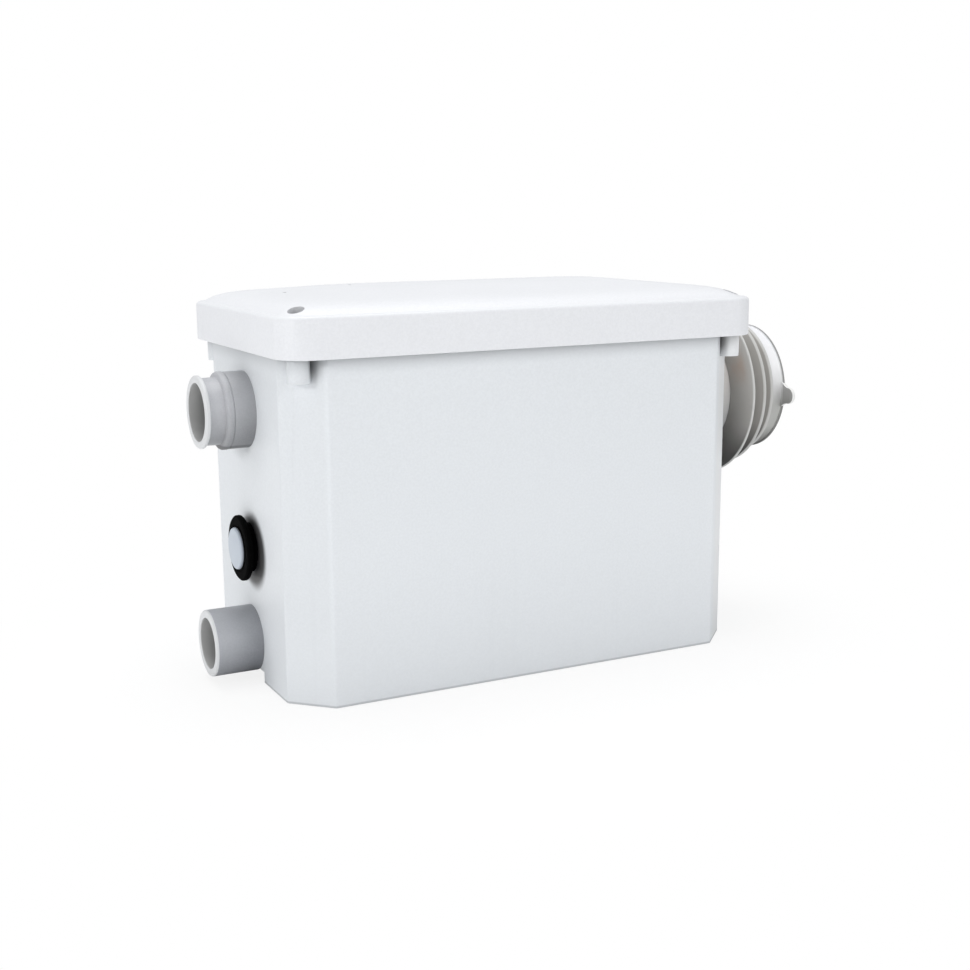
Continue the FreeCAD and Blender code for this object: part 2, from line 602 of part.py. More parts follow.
def make_lid():
    """Overhanging lid: skirt, raised crown hollow below, sunk screw seats and a vent boss."""
    body = doc.addObject("PartDesign::Body", "lid_body")
    edge = sketch_on(body, "XY_Plane", "lid_edge")
    rounded_rectangle(edge, "lid_half_length", "lid_half_depth", "lid_corner")
    skirt = pad(body, edge, "lid_skirt")
    top = size("rim_plane")
    dress(body, skirt, lambda line: line.BoundBox.ZMin > top - 0.01, "lid_edge_round")
    loft(body, crown_sections(body, "0", "0", ("crown_corner", 0)))

    hollow = sketch_on(body, "XY_Plane", "lid_edge")
    rounded_rectangle(hollow, "lid_half_length - lid_wall", "lid_half_depth - lid_wall",
                      "lid_corner - lid_wall")
    pocket(body, hollow, "lid_skirt - lid_wall", backwards=True)
    loft(body, crown_sections(body, "lid_wall", "lid_wall", ("cavity_corner", 0.4)),
         "PartDesign::SubtractiveLoft")

    pillars = sketch_on(body, "XY_Plane", "pillar_bottom")
    for x, y in corner_places("boss_x", "boss_y"):
        circle(pillars, "pillar_radius", x, y)
    pad(body, pillars, "lid_ceiling - pillar_bottom + 1")
    vent_ring(body, "vent_left", "vent_top", "vent_boss_drop + lid_wall + 0.64 * crown_height")
    vent_ring(body, "- vent_x", "lid_ceiling + 0.6 * crown_height", "0.43 * crown_height")

    seats = sketch_on(body, "XY_Plane", "recess_level")
    for x, y in corner_places("boss_x", "boss_y"):
        circle(seats, "recess_radius", x, y)
    pocket(body, seats, "crown_height + lid_wall", backwards=True)
    mouths = sketch_on(body, "XY_Plane", "rim_plane + recess_mouth_rise")
    for x, y in corner_places("boss_x", "boss_y"):
        circle(mouths, "recess_radius + recess_flare", x, y)
    pocket(body, mouths, "crown_height", backwards=True)
    holes = sketch_on(body, "XY_Plane", "rim_plane")
    for x, y in corner_places("boss_x", "boss_y"):
        circle(holes, "screw_hole_radius", x, y)
    pocket(body, holes, "lid_wall + gasket_gap + 1")
    vents = sketch_on(body, "XY_Plane", "rim_plane")
    for side in (" - ", " + "):
        circle(vents, "vent_hole_radius", "- vent_x" + side + "vent_hole_place", "vent_place_y")
    pocket(body, vents, "crown_height + 1", backwards=True)
    return node(body, "lid")


def make_lid_gasket():
    """Flat rubber frame on the tank's rim, inside the screws."""
    body = doc.addObject("PartDesign::Body", "lid_gasket_body")
    frame = sketch_on(body, "XY_Plane", "tank_height")
    outline(frame, octagon("gasket_half_length", "gasket_half_depth", "gasket_run", "gasket_rise"))
    outline(frame, octagon("gasket_inner_length", "gasket_inner_depth", "gasket_inner_run",
                           "gasket_inner_rise"))
    pad(body, frame, "gasket_gap - seat_gap")
    return node(body, "lid_gasket")


def make_lid_screws():
    """Four lid screws: pan head in the sunk seat, shank down into the boss."""
    screws = []
    for index, (x, y) in enumerate(corner_places("boss_x", "boss_y"), start=1):
        head = rod(f"lid_screw_head_{index}", "screw_head_radius", "screw_head_height", x, y,
                   "recess_level")
        shank = rod(f"lid_screw_shank_{index}", "screw_shank_radius", "screw_length", x, y,
                    "recess_level - screw_length")
        cross_a = box(f"lid_screw_slot_a_{index}", "cross_length", "cross_width", "cross_depth",
                      x + " - cross_length / 2", y + " - cross_width / 2", "head_top - cross_depth")
        cross_b = box(f"lid_screw_slot_b_{index}", "cross_width", "cross_length", "cross_depth",
                      x + " - cross_width / 2", y + " - cross_length / 2", "head_top - cross_depth")
        blank = joined(f"lid_screw_blank_{index}", [head, shank])
        drive = joined(f"lid_screw_drive_{index}", [cross_a, cross_b])
        screws.append(cut(f"lid_screw_{index}", blank, drive))
    return node(grouped("lid_screws_group", screws), "lid_screws")


def with_hinge(label, tube, pin_half, x, z):
    """Adds two drilled hinge lugs inside the top of a spigot's bore."""
    lugs = [box(f"{label}_lug_{word}", "2 * lug_half", "lug_width", "2.4 * knuckle_radius",
                f"{x} - lug_half", low, f"{z} - lug_half")
            for word, low in (("front", f"- {pin_half}"), ("back", f"{pin_half} - lug_width"))]
    hole = rod(label + "_pin_hole", "flap_pin_radius + pin_clearance", f"2 * {pin_half} + 2 * seat_gap",
               x, f"- {pin_half} - seat_gap", z, TOWARDS_BACK)
    return node(cut(label + "_drilled", joined(label + "_lugged", [tube] + lugs), hole), label)


def make_discharge_spigot():
    """Stepped discharge spigot: body, ring, neck and end collar outside, thread and barb inside."""
    back = "barb_end"
    profile = [("hose_barb_bore", "0"), ("hose_barb_radius", "0"),
               ("hose_barb_radius", "hose_barb_length"), ("discharge_thread_radius", "hose_barb_length"),
               ("discharge_thread_radius", back), ("discharge_body_radius", back),
               ("discharge_body_radius", back + " + discharge_body_length"),
               ("discharge_ring_radius", back + " + discharge_body_length"),
               ("discharge_ring_radius", "discharge_ring_end - 1.5"),
               ("discharge_ring_radius - 1.5", "discharge_ring_end"),
               ("discharge_neck_radius", "discharge_ring_end"),
               ("discharge_neck_radius", "discharge_end - discharge_collar_width"),
               ("discharge_collar_radius - 0.8", "discharge_end - discharge_collar_width"),
               ("discharge_collar_radius", "discharge_end - discharge_collar_width + 0.8"),
               ("discharge_collar_radius", "discharge_end - 1"),
               ("discharge_collar_radius - 1", "discharge_end"),
               ("discharge_bore", "discharge_end"),
               ("discharge_bore", "discharge_seat + seat_width"),
               ("discharge_seat_bore", "discharge_seat + seat_width"),
               ("discharge_seat_bore", "discharge_seat"),
               ("hose_barb_bore", "discharge_seat - 4")]
    tube = spun("discharge_tube", profile, ("- half_length + barb_end", "0", "discharge_height"),
                TOWARDS_LEFT)
    return with_hinge("discharge_spigot", tube, "discharge_pin_half", "discharge_hinge_x",
                      "discharge_height + discharge_hinge_rise")


def make_discharge_seal():
    """Flat rubber ring inside the tank wall, under the discharge nut."""
    profile = ring_profile("discharge_thread_radius + press_gap", "discharge_nut_radius - 2", "0",
                           "discharge_seal_width")
    return turned("discharge_seal", profile,
                  ("- inner_half_length + discharge_seal_width", "0", "discharge_height"), TOWARDS_LEFT)


def make_discharge_nut():
    """Ring nut that pulls the discharge spigot against the wall."""
    profile = ring_profile("discharge_thread_radius + press_gap", "discharge_nut_radius", "0",
                           "discharge_nut_width")
    return turned("discharge_nut", profile,
                  ("- inner_half_length + discharge_seal_width + discharge_nut_width", "0",
                   "discharge_height"), TOWARDS_LEFT)


def make_flap(label, radius, hinge_rise, x, hinge_x, z):
    """Non-return flap: a disc with a hinge knuckle along its top, hung on a pin."""
    top = f"{z} + {hinge_rise}"
    disc = rod(label + "_disc", radius, "flap_thickness", x, "0", z, TOWARDS_LEFT)
    arm = box(label + "_arm", "flap_thickness", "knuckle_width", hinge_rise, f"{x} - flap_thickness",
              "- knuckle_width / 2", z)
    knuckle = rod(label + "_knuckle", "knuckle_radius", "knuckle_width", hinge_x,
                  "- knuckle_width / 2", top, TOWARDS_BACK)
    bore = rod(label + "_bore", "flap_pin_radius + pin_clearance", "knuckle_width + 2", hinge_x,
               "- knuckle_width / 2 - 1", top, TOWARDS_BACK)
    return node(cut(label + "_hung", joined(label + "_blank", [disc, arm, knuckle]), bore), label)


def make_flap_pin(label, half_width, hinge_rise, hinge_x, z):
    """Hinge pin across the bore, held in the spigot's lugs."""
    return node(rod(label + "_rod", "flap_pin_radius", f"2 * {half_width}", hinge_x, f"- {half_width}",
                    f"{z} + {hinge_rise}", TOWARDS_BACK), label)


def make_inlet_spigot():
    """Plain waste inlet spigot with the flap's seat inside its bore."""
    profile = [("inlet_neck_bore", "0"), ("inlet_neck_radius", "0"), ("inlet_neck_radius", "tank_wall"),
               ("inlet_radius", "tank_wall"), ("inlet_radius", "tank_wall + inlet_reach - 0.6"),
               ("inlet_radius - 0.6", "tank_wall + inlet_reach"),
               ("inlet_bore + 0.6", "tank_wall + inlet_reach"),
               ("inlet_bore", "tank_wall + inlet_reach - 0.6"),
               ("inlet_bore", "inlet_seat + seat_width"), ("inlet_seat_bore", "inlet_seat + seat_width"),
               ("inlet_seat_bore", "inlet_seat"), ("inlet_bore", "inlet_seat"),
               ("inlet_bore", "tank_wall"), ("inlet_neck_bore", "tank_wall")]
    tube = spun("inlet_tube", profile, ("- inner_half_length", "0", "inlet_height"), TOWARDS_LEFT)
    return with_hinge("inlet_spigot", tube, "inlet_pin_half", "inlet_hinge_x",
                      "inlet_height + inlet_hinge_rise")


def make_plug_grommet():
    """Rubber mushroom grommet that seals the auxiliary inlet."""
    front = "grommet_back + tank_wall + grommet_standoff"
    profile = [("grommet_bore", "0"), ("grommet_back_radius", "0"), ("grommet_back_radius", "grommet_back"),
               ("grommet_neck_radius", "grommet_back"), ("grommet_neck_radius", front),
               ("grommet_flange_radius - 0.6", front), ("grommet_flange_radius", front + " + 0.6"),
               ("grommet_flange_radius", front + " + grommet_flange_width - 1"),
               ("grommet_flange_radius - 1", front + " + grommet_flange_width"),
               ("grommet_bore", front + " + grommet_flange_width")]
    return turned("plug_grommet", profile,
                  ("- inner_half_length + grommet_back", "0", "plug_height"), TOWARDS_LEFT)


def make_inlet_plug():
    """Pull-out plug: hollow stem in the grommet and a round face proud of it."""
    profile = [("0", "plug_depth - plug_wall"), ("plug_stem - plug_wall", "plug_depth - plug_wall"),
               ("plug_stem - plug_wall", "0"), ("plug_stem", "0"), ("plug_stem", "plug_depth"),
               ("plug_face_radius", "plug_depth"),
               ("plug_face_radius", "plug_depth + plug_face_width - 0.7"),
               ("plug_face_radius - 0.7", "plug_depth + plug_face_width"),
               ("0", "plug_depth + plug_face_width")]
    return turned("inlet_plug", profile, ("plug_x", "0", "plug_height"), TOWARDS_LEFT)


def bellows_outside():
    """Stations along X and outer radii of the connector, from its root to its sleeve."""
    root = size("stub_radius") + size("bellows_root")
    land = size("rib_land")
    rings = [(0.0, root)]
    for word in ("one", "two", "three"):
        far = size(f"rib_{word}_place")
        tip = size(f"rib_{word}_radius")
        rings += [(far - land, tip), (far, tip)]
        if word != "three":
            following = size("rib_two_place" if word == "one" else "rib_three_place")
            rings.append((0.55 * far + 0.45 * (following - land), size(f"valley_{word}_radius")))
    rings.append((size("rib_three_place") + 3.0, size("sleeve_radius")))
    rings.append((size("rim_place") - size("rim_bead"), size("sleeve_radius") + 0.5))
    return rings


def bellows_inside():
    """Stations and radii of the connector's hollow, which follows the ribs from within."""
    wall = size("bellows_wall")
    grip = size("stub_radius") + size("seat_gap")
    rings = [(-1.0, grip), (0.9 * wall, grip)]
    for word in ("one", "two", "three"):
        far = size(f"rib_{word}_place")
        rings.append((far - size("rib_land") / 2, size(f"rib_{word}_radius") - wall))
        if word != "three":
            following = size("rib_two_place" if word == "one" else "rib_three_place")
            valley = size(f"valley_{word}_radius") - 1.5 * wall
            rings.append((0.55 * far + 0.45 * (following - size("rib_land")), valley))
    rings.append((size("rib_three_place") + 3.0, size("sleeve_radius") - wall))
    rings.append((size("rim_place") + 1.0, size("sleeve_radius") - wall))
    return rings


def ring_wire(x, radius, height):
    """One circle across the X axis."""
    loop = Part.makeCircle(radius, Vector(x, 0, height), Vector(1, 0, 0))
    return Part.Wire([loop])


def ruled_tube(rings, start, height):
    """Solid through a row of circles, joined by straight cones."""
    wires = [ring_wire(start + x, radius, height) for x, radius in rings]
    return Part.makeLoft(wires, True, True)


def pull_tab(side, start, height):
    """Rounded pull tab in the plane of the connector's rim, flared where it leaves the rim."""
    half = size("tab_width") / 2
    thickness = size("tab_thickness")
    rim = size("rim_radius")
    reach = rim + size("tab_reach") - half
    x = start + size("rim_place") - thickness
    rises = [(rim - 2.5, 1.8), (rim + 0.6, 1.55), (rim + 2.6, 1.28), (rim + 5.1, 1.1), (reach, 1.0)]
    edge = [Vector(x, side * out, height + half * share) for out, share in rises]
    edge += [Vector(x, side * out, height - half * share) for out, share in reversed(rises)]
    blade = Part.Face(Part.makePolygon(edge + edge[:1])).extrude(Vector(thickness, 0, 0))
    tip = Part.makeCylinder(half, thickness, Vector(x, side * reach, height), Vector(1, 0, 0))
    return blade.fuse(tip)


def make_wc_bellows():
    """Ribbed rubber connector for the toilet's outlet, with its bore, rim bead and pull tabs."""
    start = size("bellows_start")
    height = size("wc_height")
    end = size("rim_place")
    rim_start = end - size("rim_bead")
    outer = ruled_tube(bellows_outside(), start, height)
    lip = ruled_tube([(rim_start, size("rim_radius")), (end, size("rim_radius"))], start, height)
    outside = outer.fuse([lip, pull_tab(1, start, height), pull_tab(-1, start, height)])
    hollow = outside.cut(ruled_tube(bellows_inside(), start, height))
    grip_radius = size("stub_radius") + size("seat_gap")
    root = size("stub_radius") + size("bellows_root")
    grip_rings = [(0.0, root), (size("grip_length"), root)]
    grip_bore = [(-1.0, grip_radius), (size("grip_length") + 1.0, grip_radius)]
    grip = ruled_tube(grip_rings, start, height).cut(ruled_tube(grip_bore, start, height))
    item = doc.addObject("Part::Feature", "wc_bellows_form")
    item.Shape = hollow.fuse(grip)
    return node(item, "wc_bellows")


def make_inlet_chute():
    """Half-round chute that carries waste from the toilet stub to the basket."""
    outer = "stub_radius - stub_wall - seat_gap"
    length = "half_length + chute_overlap - chute_end"
    blank = rod("chute_blank", outer, length, "chute_end", "0", "wc_height", TOWARDS_RIGHT)
    hollow = rod("chute_hollow", outer + " - chute_thickness", length + " + 2", "chute_end - 1", "0",
                 "wc_height", TOWARDS_RIGHT)
    above = box("chute_above", length + " + 2", "2 * stub_radius", "stub_radius", "chute_end - 1",
                "- stub_radius", "wc_height")
    return node(cut("chute_form", blank, joined("chute_waste", [hollow, above])), "inlet_chute")


def deck_screw_places():
    """Where the four deck screws stand."""
    return [(x, side + "deck_screw_y") for x in ("deck_screw_left", "deck_screw_right")
            for side in ("", "- ")]


def motor_screw_places():
    """Where the four motor screws stand."""
    return [(x, side + "motor_screw_place") for x in ("motor_screw_left", "motor_screw_right")
            for side in ("", "- ")]


def make_motor_deck():
    """Deck plate on the tank's rails, bored for the shaft seal, level tube and screws."""
    body = doc.addObject("PartDesign::Body", "motor_deck_body")
    plate = sketch_on(body, "XY_Plane", "deck_height")
    outline(plate, [("- deck_left", "- deck_half_depth"), ("deck_right", "- deck_half_depth"),
                    ("deck_right", "deck_half_depth"), ("- deck_left", "deck_half_depth")])
    pad(body, plate, "deck_thickness")
    holes = sketch_on(body, "XY_Plane", "deck_top")
    circle(holes, "seal_radius + press_gap", "motor_place", "0")
    circle(holes, "bell_radius + press_gap", "- switch_place_x", "- switch_place_y")
    for x, y in deck_screw_places():
        circle(holes, "deck_screw_radius + screw_clearance", x, y)
    for x, y in motor_screw_places():
        circle(holes, "motor_screw_radius + screw_clearance", x, y)
    pocket(body, holes, "deck_thickness + 1")
    return node(body, "motor_deck")


def make_deck_screws():
    """Four screws that hold the deck on its rails."""
    screws = []
    for index, (x, y) in enumerate(deck_screw_places(), start=1):
        head = rod(f"deck_screw_head_{index}", "deck_screw_head", "deck_screw_head_height", x, y,
                   "deck_top")
        shank = rod(f"deck_screw_shank_{index}", "deck_screw_radius", "deck_screw_length", x, y,
                    "deck_top - deck_screw_length")
        screws.append(joined(f"deck_screw_{index}", [head, shank]))
    return node(grouped("deck_screws_group", screws), "deck_screws")


def make_motor_base():
    """Motor foot with the lower bearing's pocket and four pilot holes."""
    profile = [("shaft_radius + 1", "0"), ("motor_radius", "0"), ("motor_radius", "motor_base_height"),
               ("bearing_radius + press_gap", "motor_base_height"),
               ("bearing_radius + press_gap", "motor_base_height - bearing_width"),
               ("shaft_radius + 1", "motor_base_height - bearing_width")]
    foot = spun("motor_base", profile, ("motor_place", "0", "deck_top"))
    pilots = [rod(f"motor_pilot_{index}", "motor_screw_radius + press_gap", "motor_screw_length", x, y,
                  "deck_top - 1")
              for index, (x, y) in enumerate(motor_screw_places(), start=1)]
    return node(cut("motor_base_drilled", foot, joined("motor_pilots", pilots)), "motor_base")


def make_motor_screws():
    """Four screws from below the deck into the motor's foot."""
    screws = []
    for index, (x, y) in enumerate(motor_screw_places(), start=1):
        head = rod(f"motor_screw_head_{index}", "motor_screw_head", "deck_screw_head_height", x, y,
                   "deck_height - deck_screw_head_height")
        shank = rod(f"motor_screw_shank_{index}", "motor_screw_radius", "motor_screw_length", x, y,
                    "deck_height")
        screws.append(joined(f"motor_screw_{index}", [head, shank]))
    return node(grouped("motor_screws_group", screws), "motor_screws")


def make_motor_housing():
    """Motor can, closed on top, with the upper bearing's boss inside."""
    ceiling = "motor_height - motor_base_height - can_wall"
    boss = ceiling + " - bearing_width"
    profile = [("motor_radius - can_wall", "0"), ("motor_radius", "0"),
               ("motor_radius", "motor_height - motor_base_height - 2"),
               ("motor_radius - 2", "motor_height - motor_base_height"),
               ("0", "motor_height - motor_base_height"), ("0", ceiling),
               ("bearing_radius + press_gap", ceiling), ("bearing_radius + press_gap", boss),
               ("bearing_radius + bearing_boss_wall", boss),
               ("bearing_radius + bearing_boss_wall", ceiling), ("motor_radius - can_wall", ceiling)]
    return turned("motor_housing", profile, ("motor_place", "0", "base_top"))


def make_stator():
    """Stator core pressed into the can, and its two winding heads."""
    core = ring_profile("stator_bore", "motor_radius - can_wall - press_gap", "0", "stator_height")
    turned("stator_core", core, ("motor_place", "0", "stator_base"))
    head = [("stator_bore + 3", "1.5"), ("stator_bore + 4.5", "0"), ("winding_radius - 1.5", "0"),
            ("winding_radius", "1.5"), ("winding_radius", "winding_height - 1.5"),
            ("winding_radius - 1.5", "winding_height"), ("stator_bore + 4.5", "winding_height"),
            ("stator_bore + 3", "winding_height - 1.5")]
    lower = spun("winding_lower", head, ("motor_place", "0", "stator_base - winding_height"))
    upper = spun("winding_upper", head, ("motor_place", "0", "stator_base + stator_height"))
    return node(grouped("stator_winding_group", [lower, upper]), "stator_winding")


def make_rotor():
    """Rotor core and the motor shaft with its blade collar."""
    core = ring_profile("shaft_radius + press_gap", "stator_bore - air_gap", "0", "stator_height")
    turned("rotor_core", core, ("motor_place", "0", "stator_base"))
    shaft = [("0", "impeller_base"), ("shaft_radius", "impeller_base"),
             ("shaft_radius", "cutter_base - 3"), ("shaft_collar", "cutter_base - 3"),
             ("shaft_collar", "cutter_base"), ("shaft_radius", "cutter_base"),
             ("shaft_radius", "shaft_top - 1"), ("shaft_radius - 1", "shaft_top"), ("0", "shaft_top")]
    return turned("motor_shaft", shaft, ("motor_place", "0", "0"))


def make_bearings():
    """Lower and upper bearing and the shaft seal in the deck."""
    ring = ring_profile("shaft_radius + running_gap", "bearing_radius", "0", "bearing_width")
    turned("lower_bearing", ring, ("motor_place", "0", "base_top - bearing_width"))
    turned("upper_bearing", ring, ("motor_place", "0", "upper_bearing_base"))
    seal = ring_profile("shaft_radius + running_gap", "seal_radius", "0", "deck_thickness")
    return turned("shaft_seal", seal, ("motor_place", "0", "deck_height"))


def make_pump():
    """Pump casing with its side outlet, and the cover with the eye."""
    cup = [("0", "0"), ("casing_radius", "0"), ("casing_radius", "casing_height"),
           ("casing_radius - casing_wall", "casing_height"), ("casing_radius - casing_wall", "casing_wall"),
           ("0", "casing_wall")]
    shell = spun("casing_cup", cup, ("motor_place", "0", "floor_top"))
    outlet = rod("casing_outlet", "hose_barb_radius", "outlet_length + 2", "outlet_end", "0",
                 "outlet_height", TOWARDS_RIGHT)
    bore = rod("casing_bore", "hose_barb_bore", "outlet_length + casing_wall + 2", "outlet_end - 1", "0",
               "outlet_height", TOWARDS_RIGHT)
    node(cut("pump_casing_form", joined("pump_casing_blank", [shell, outlet]), bore), "pump_casing")
    cover = ring_profile("eye_radius", "casing_radius", "0", "cover_thickness")
    return turned("pump_cover", cover, ("motor_place", "0", "casing_top"))


def make_impeller():
    """Open impeller: disc, hub and six straight vanes."""
    body = doc.addObject("PartDesign::Body", "impeller_body")
    disc = sketch_on(body, "XY_Plane")
    circle(disc, "impeller_radius")
    pad(body, disc, "impeller_disc")
    hub = sketch_on(body, "XY_Plane")
    circle(hub, "hub_radius")
    pad(body, hub, "impeller_disc + vane_height")
    vane = sketch_on(body, "XY_Plane", "impeller_disc - 1")
    outline(vane, [("hub_radius - 2", "- vane_width / 2"), ("impeller_radius - 1", "- vane_width / 2"),
                   ("impeller_radius - 1", "vane_width / 2"), ("hub_radius - 2", "vane_width / 2")])
    blade = pad(body, vane, "vane_height + 1")
    around(body, blade, vane, 6)
    bore = sketch_on(body, "XY_Plane")
    circle(bore, "shaft_radius + press_gap")
    pocket(body, bore, "impeller_disc + vane_height + 1", backwards=True)
    place(body, "motor_place", "0", "impeller_base")
    return node(body, "impeller")


def make_sieve_basket():
    """Perforated basket that keeps solids by the cutter until they are small."""
    inner = "basket_radius - basket_wall"
    profile = [("eye_radius", "0"), ("basket_radius", "0"),
               ("basket_radius", "basket_height - basket_lip_height"),
               ("basket_radius + basket_lip", "basket_height - basket_lip_height"),
               ("basket_radius + basket_lip", "basket_height"), (inner, "basket_height"),
               (inner, "basket_wall"), ("eye_radius", "basket_wall")]
    body = spun("sieve_basket", profile, ("motor_place", "0", "cover_top"))
    slot = sketch_on(body, "XZ_Plane", inner + " - 2")
    half = "basket_slot_width / 2"
    outline(slot, [("- " + half, "slot_lift"), (half, "slot_lift"),
                   (half, "slot_lift + basket_slot_height"), ("- " + half, "slot_lift + basket_slot_height")])
    opening = pocket(body, slot, "basket_wall + 4", backwards=True)
    around(body, opening, slot, 24)
    return node(body, "sieve_basket")


def make_cutter():
    """Cutter blade with upturned tips, and the nut that clamps it on the shaft."""
    bar = box("cutter_bar", "cutter_length", "cutter_width", "cutter_thickness",
              "motor_place - cutter_length / 2", "- cutter_width / 2", "cutter_base")
    left = box("cutter_tip_left", "cutter_thickness", "cutter_width", "cutter_tip_height",
               "motor_place - cutter_length / 2", "- cutter_width / 2", "cutter_base")
    right = box("cutter_tip_right", "cutter_thickness", "cutter_width", "cutter_tip_height",
                "motor_place + cutter_length / 2 - cutter_thickness", "- cutter_width / 2", "cutter_base")
    hole = rod("cutter_hole", "shaft_radius + press_gap", "cutter_thickness + 2", "motor_place", "0",
               "cutter_base - 1")
    node(cut("cutter_form", joined("cutter_blank", [bar, left, right]), hole), "cutter_blade")
    hexagon = doc.addObject("Part::Prism", "blade_nut_hexagon")
    hexagon.Polygon = 6
    hexagon.setExpression("Circumradius", linked("shaft_collar"))
    hexagon.setExpression("Height", linked("blade_nut_height"))
    place(hexagon, "motor_place", "0", "cutter_base + cutter_thickness")
    bore = rod("blade_nut_bore", "shaft_radius + press_gap", "blade_nut_height + 2", "motor_place", "0",
               "cutter_base + cutter_thickness - 1")
    return node(cut("blade_nut_form", hexagon, bore), "blade_nut")


LOWER_BEND = Rotation(Vector(0, 0, -1), Vector(-1, 0, 0), Vector(0, 1, 0), "ZXY")
UPPER_BEND = Rotation(Vector(1, 0, 0), Vector(0, 0, 1), Vector(0, -1, 0), "ZXY")


def riser_form(name, radius, extra):
    """One smooth run of hose, from the pump outlet up to the discharge barb."""
    def bend(word, x, z, turn):
        elbow = doc.addObject("Part::Torus", name + word)
        elbow.setExpression("Radius1", linked("riser_bend"))
        elbow.setExpression("Radius2", linked(radius))
        elbow.Angle3 = 90.0
        return place(elbow, x, "0", z, turn)

    foot = rod(name + "_foot", radius, f"riser_start + riser_x - riser_bend + {extra}",
               "- riser_x + riser_bend", "0", "outlet_height", TOWARDS_RIGHT)
    lower = bend("_lower_bend", "- riser_x + riser_bend", "outlet_height + riser_bend", LOWER_BEND)
    upright = rod(name + "_upright", radius, "discharge_height - outlet_height - 2 * riser_bend",
                  "- riser_x", "0", "outlet_height + riser_bend")
    upper = bend("_upper_bend", "- riser_x - riser_bend", "discharge_height - riser_bend", UPPER_BEND)
    head = rod(name + "_head", radius, f"riser_top_end - riser_x - riser_bend + {extra}",
               "- riser_x - riser_bend", "0", "discharge_height", TOWARDS_LEFT)
    return joined(name, [foot, lower, upright, upper, head])


def make_discharge_riser():
    """Rubber hose from the pump to the discharge spigot."""
    outside = riser_form("riser_outside", "riser_radius", "0")
    inside = riser_form("riser_inside", "riser_bore", "1")
    return node(cut("riser_form", outside, inside), "discharge_riser")


def make_riser_clips():
    """Two hose clips, each a band with its screw housing."""
    clips = []
    for word, x, z in (("lower", "(riser_start + outlet_end) / 2 - clip_width / 2", "outlet_height"),
                       ("upper", "- riser_top_end + 5", "discharge_height")):
        band = ring_profile("riser_radius + press_gap", "riser_radius + clip_thickness", "0", "clip_width")
        loop = spun("clip_band_" + word, band, (x, "0", z), TOWARDS_RIGHT)
        screw = box("clip_screw_" + word, "clip_width", "4 * clip_thickness", "clip_width", x,
                    "riser_radius + clip_thickness / 2", z + " - clip_width / 2")
        clips.append(joined("clip_" + word, [loop, screw]))
    return node(grouped("riser_clips_group", clips), "riser_clips")


def make_level_switch():
    """Pressure tube, diaphragm, capped chamber, plunger, microswitch and its button."""
    at = ("- switch_place_x", "- switch_place_y")
    tube = [("bell_radius - bell_wall", "0"), ("bell_radius", "0"), ("bell_radius", "deck_top - bell_bottom"),
            ("chamber_radius", "deck_top - bell_bottom"), ("chamber_radius", "chamber_top - bell_bottom"),
            ("bell_radius - bell_wall", "chamber_top - bell_bottom")]
    turned("pressure_tube", tube, at + ("bell_bottom",))
    skin = rod("diaphragm_disc", "chamber_radius", "diaphragm_thickness", *at, "chamber_top")
    node(skin, "level_diaphragm")

    hole = "plunger_radius + running_gap"
    cap = [("chamber_radius - cap_wall", "0"), ("chamber_radius", "0"),
           ("chamber_radius", "chamber_cap_height"), (hole, "chamber_cap_height"),
           (hole, "chamber_cap_height - cap_top_wall"),
           ("chamber_radius - cap_wall", "chamber_cap_height - cap_top_wall")]
    cover = spun("switch_cap", cap, at + ("cap_base",))
    bracket = box("switch_bracket", "switch_length", "bracket_thickness",
                  "switch_base + switch_body_height - cap_top", "- switch_place_x - switch_length / 2",
                  "- switch_place_y + switch_depth / 2", "cap_top")
    node(joined("switch_housing_form", [cover, bracket]), "switch_housing")

    plunger = [("0", "0"), ("plunger_foot_radius", "0"), ("plunger_foot_radius", "plunger_foot_height"),
               ("plunger_radius", "plunger_foot_height"),
               ("plunger_radius", "chamber_cap_height + plunger_rise"),
               ("0", "chamber_cap_height + plunger_rise")]
    turned("level_plunger", plunger, at + ("cap_base",))

    case = box("microswitch_case", "switch_length", "switch_depth", "switch_body_height",
               "- switch_place_x - switch_length / 2", "- switch_place_y - switch_depth / 2", "switch_base")
    well = rod("microswitch_well", "button_radius + running_gap", "2 * button_stroke_room", *at,
               "switch_base")
    node(cut("microswitch_form", case, well), "microswitch")
    button = rod("switch_button_rod", "button_radius", "button_height + button_stroke_room", *at,
                 "plunger_top")
    return node(button, "switch_button")


def make_capacitor():
    """Run capacitor lying in its saddle on the deck."""
    centre = "deck_top + saddle_thickness + capacitor_radius"
    start = "- capacitor_place"
    can = rod("capacitor_can", "capacitor_radius", "capacitor_length", "- capacitor_place", "-10", centre,
              TOWARDS_BACK)
    node(can, "capacitor")
    block = box("saddle_block", "1.5 * capacitor_radius", "capacitor_length / 2", "0.7 * capacitor_radius",
                "- capacitor_place - 0.75 * capacitor_radius", "-10 + capacitor_length / 4", "deck_top")
    dip = rod("saddle_dip", "capacitor_radius + seat_gap", "capacitor_length", start, "-10", centre,
              TOWARDS_BACK)
    return node(cut("saddle_form", block, dip), "capacitor_saddle")


def make_terminal_box():
    """Terminal box on the deck and its push-on cover."""
    left = "- deck_left + 2"
    shell = box("terminal_shell", "terminal_length", "terminal_depth", "terminal_height", left, "0",
                "deck_top")
    hollow = box("terminal_hollow", "terminal_length - 2 * terminal_wall",
                 "terminal_depth - 2 * terminal_wall", "terminal_height", left + " + terminal_wall",
                 "terminal_wall", "deck_top + terminal_wall")
    node(cut("terminal_form", shell, hollow), "terminal_box")
    lid = box("terminal_lid", "terminal_length", "terminal_depth", "terminal_wall", left, "0",
              "deck_top + terminal_height")
    return node(lid, "terminal_cover")


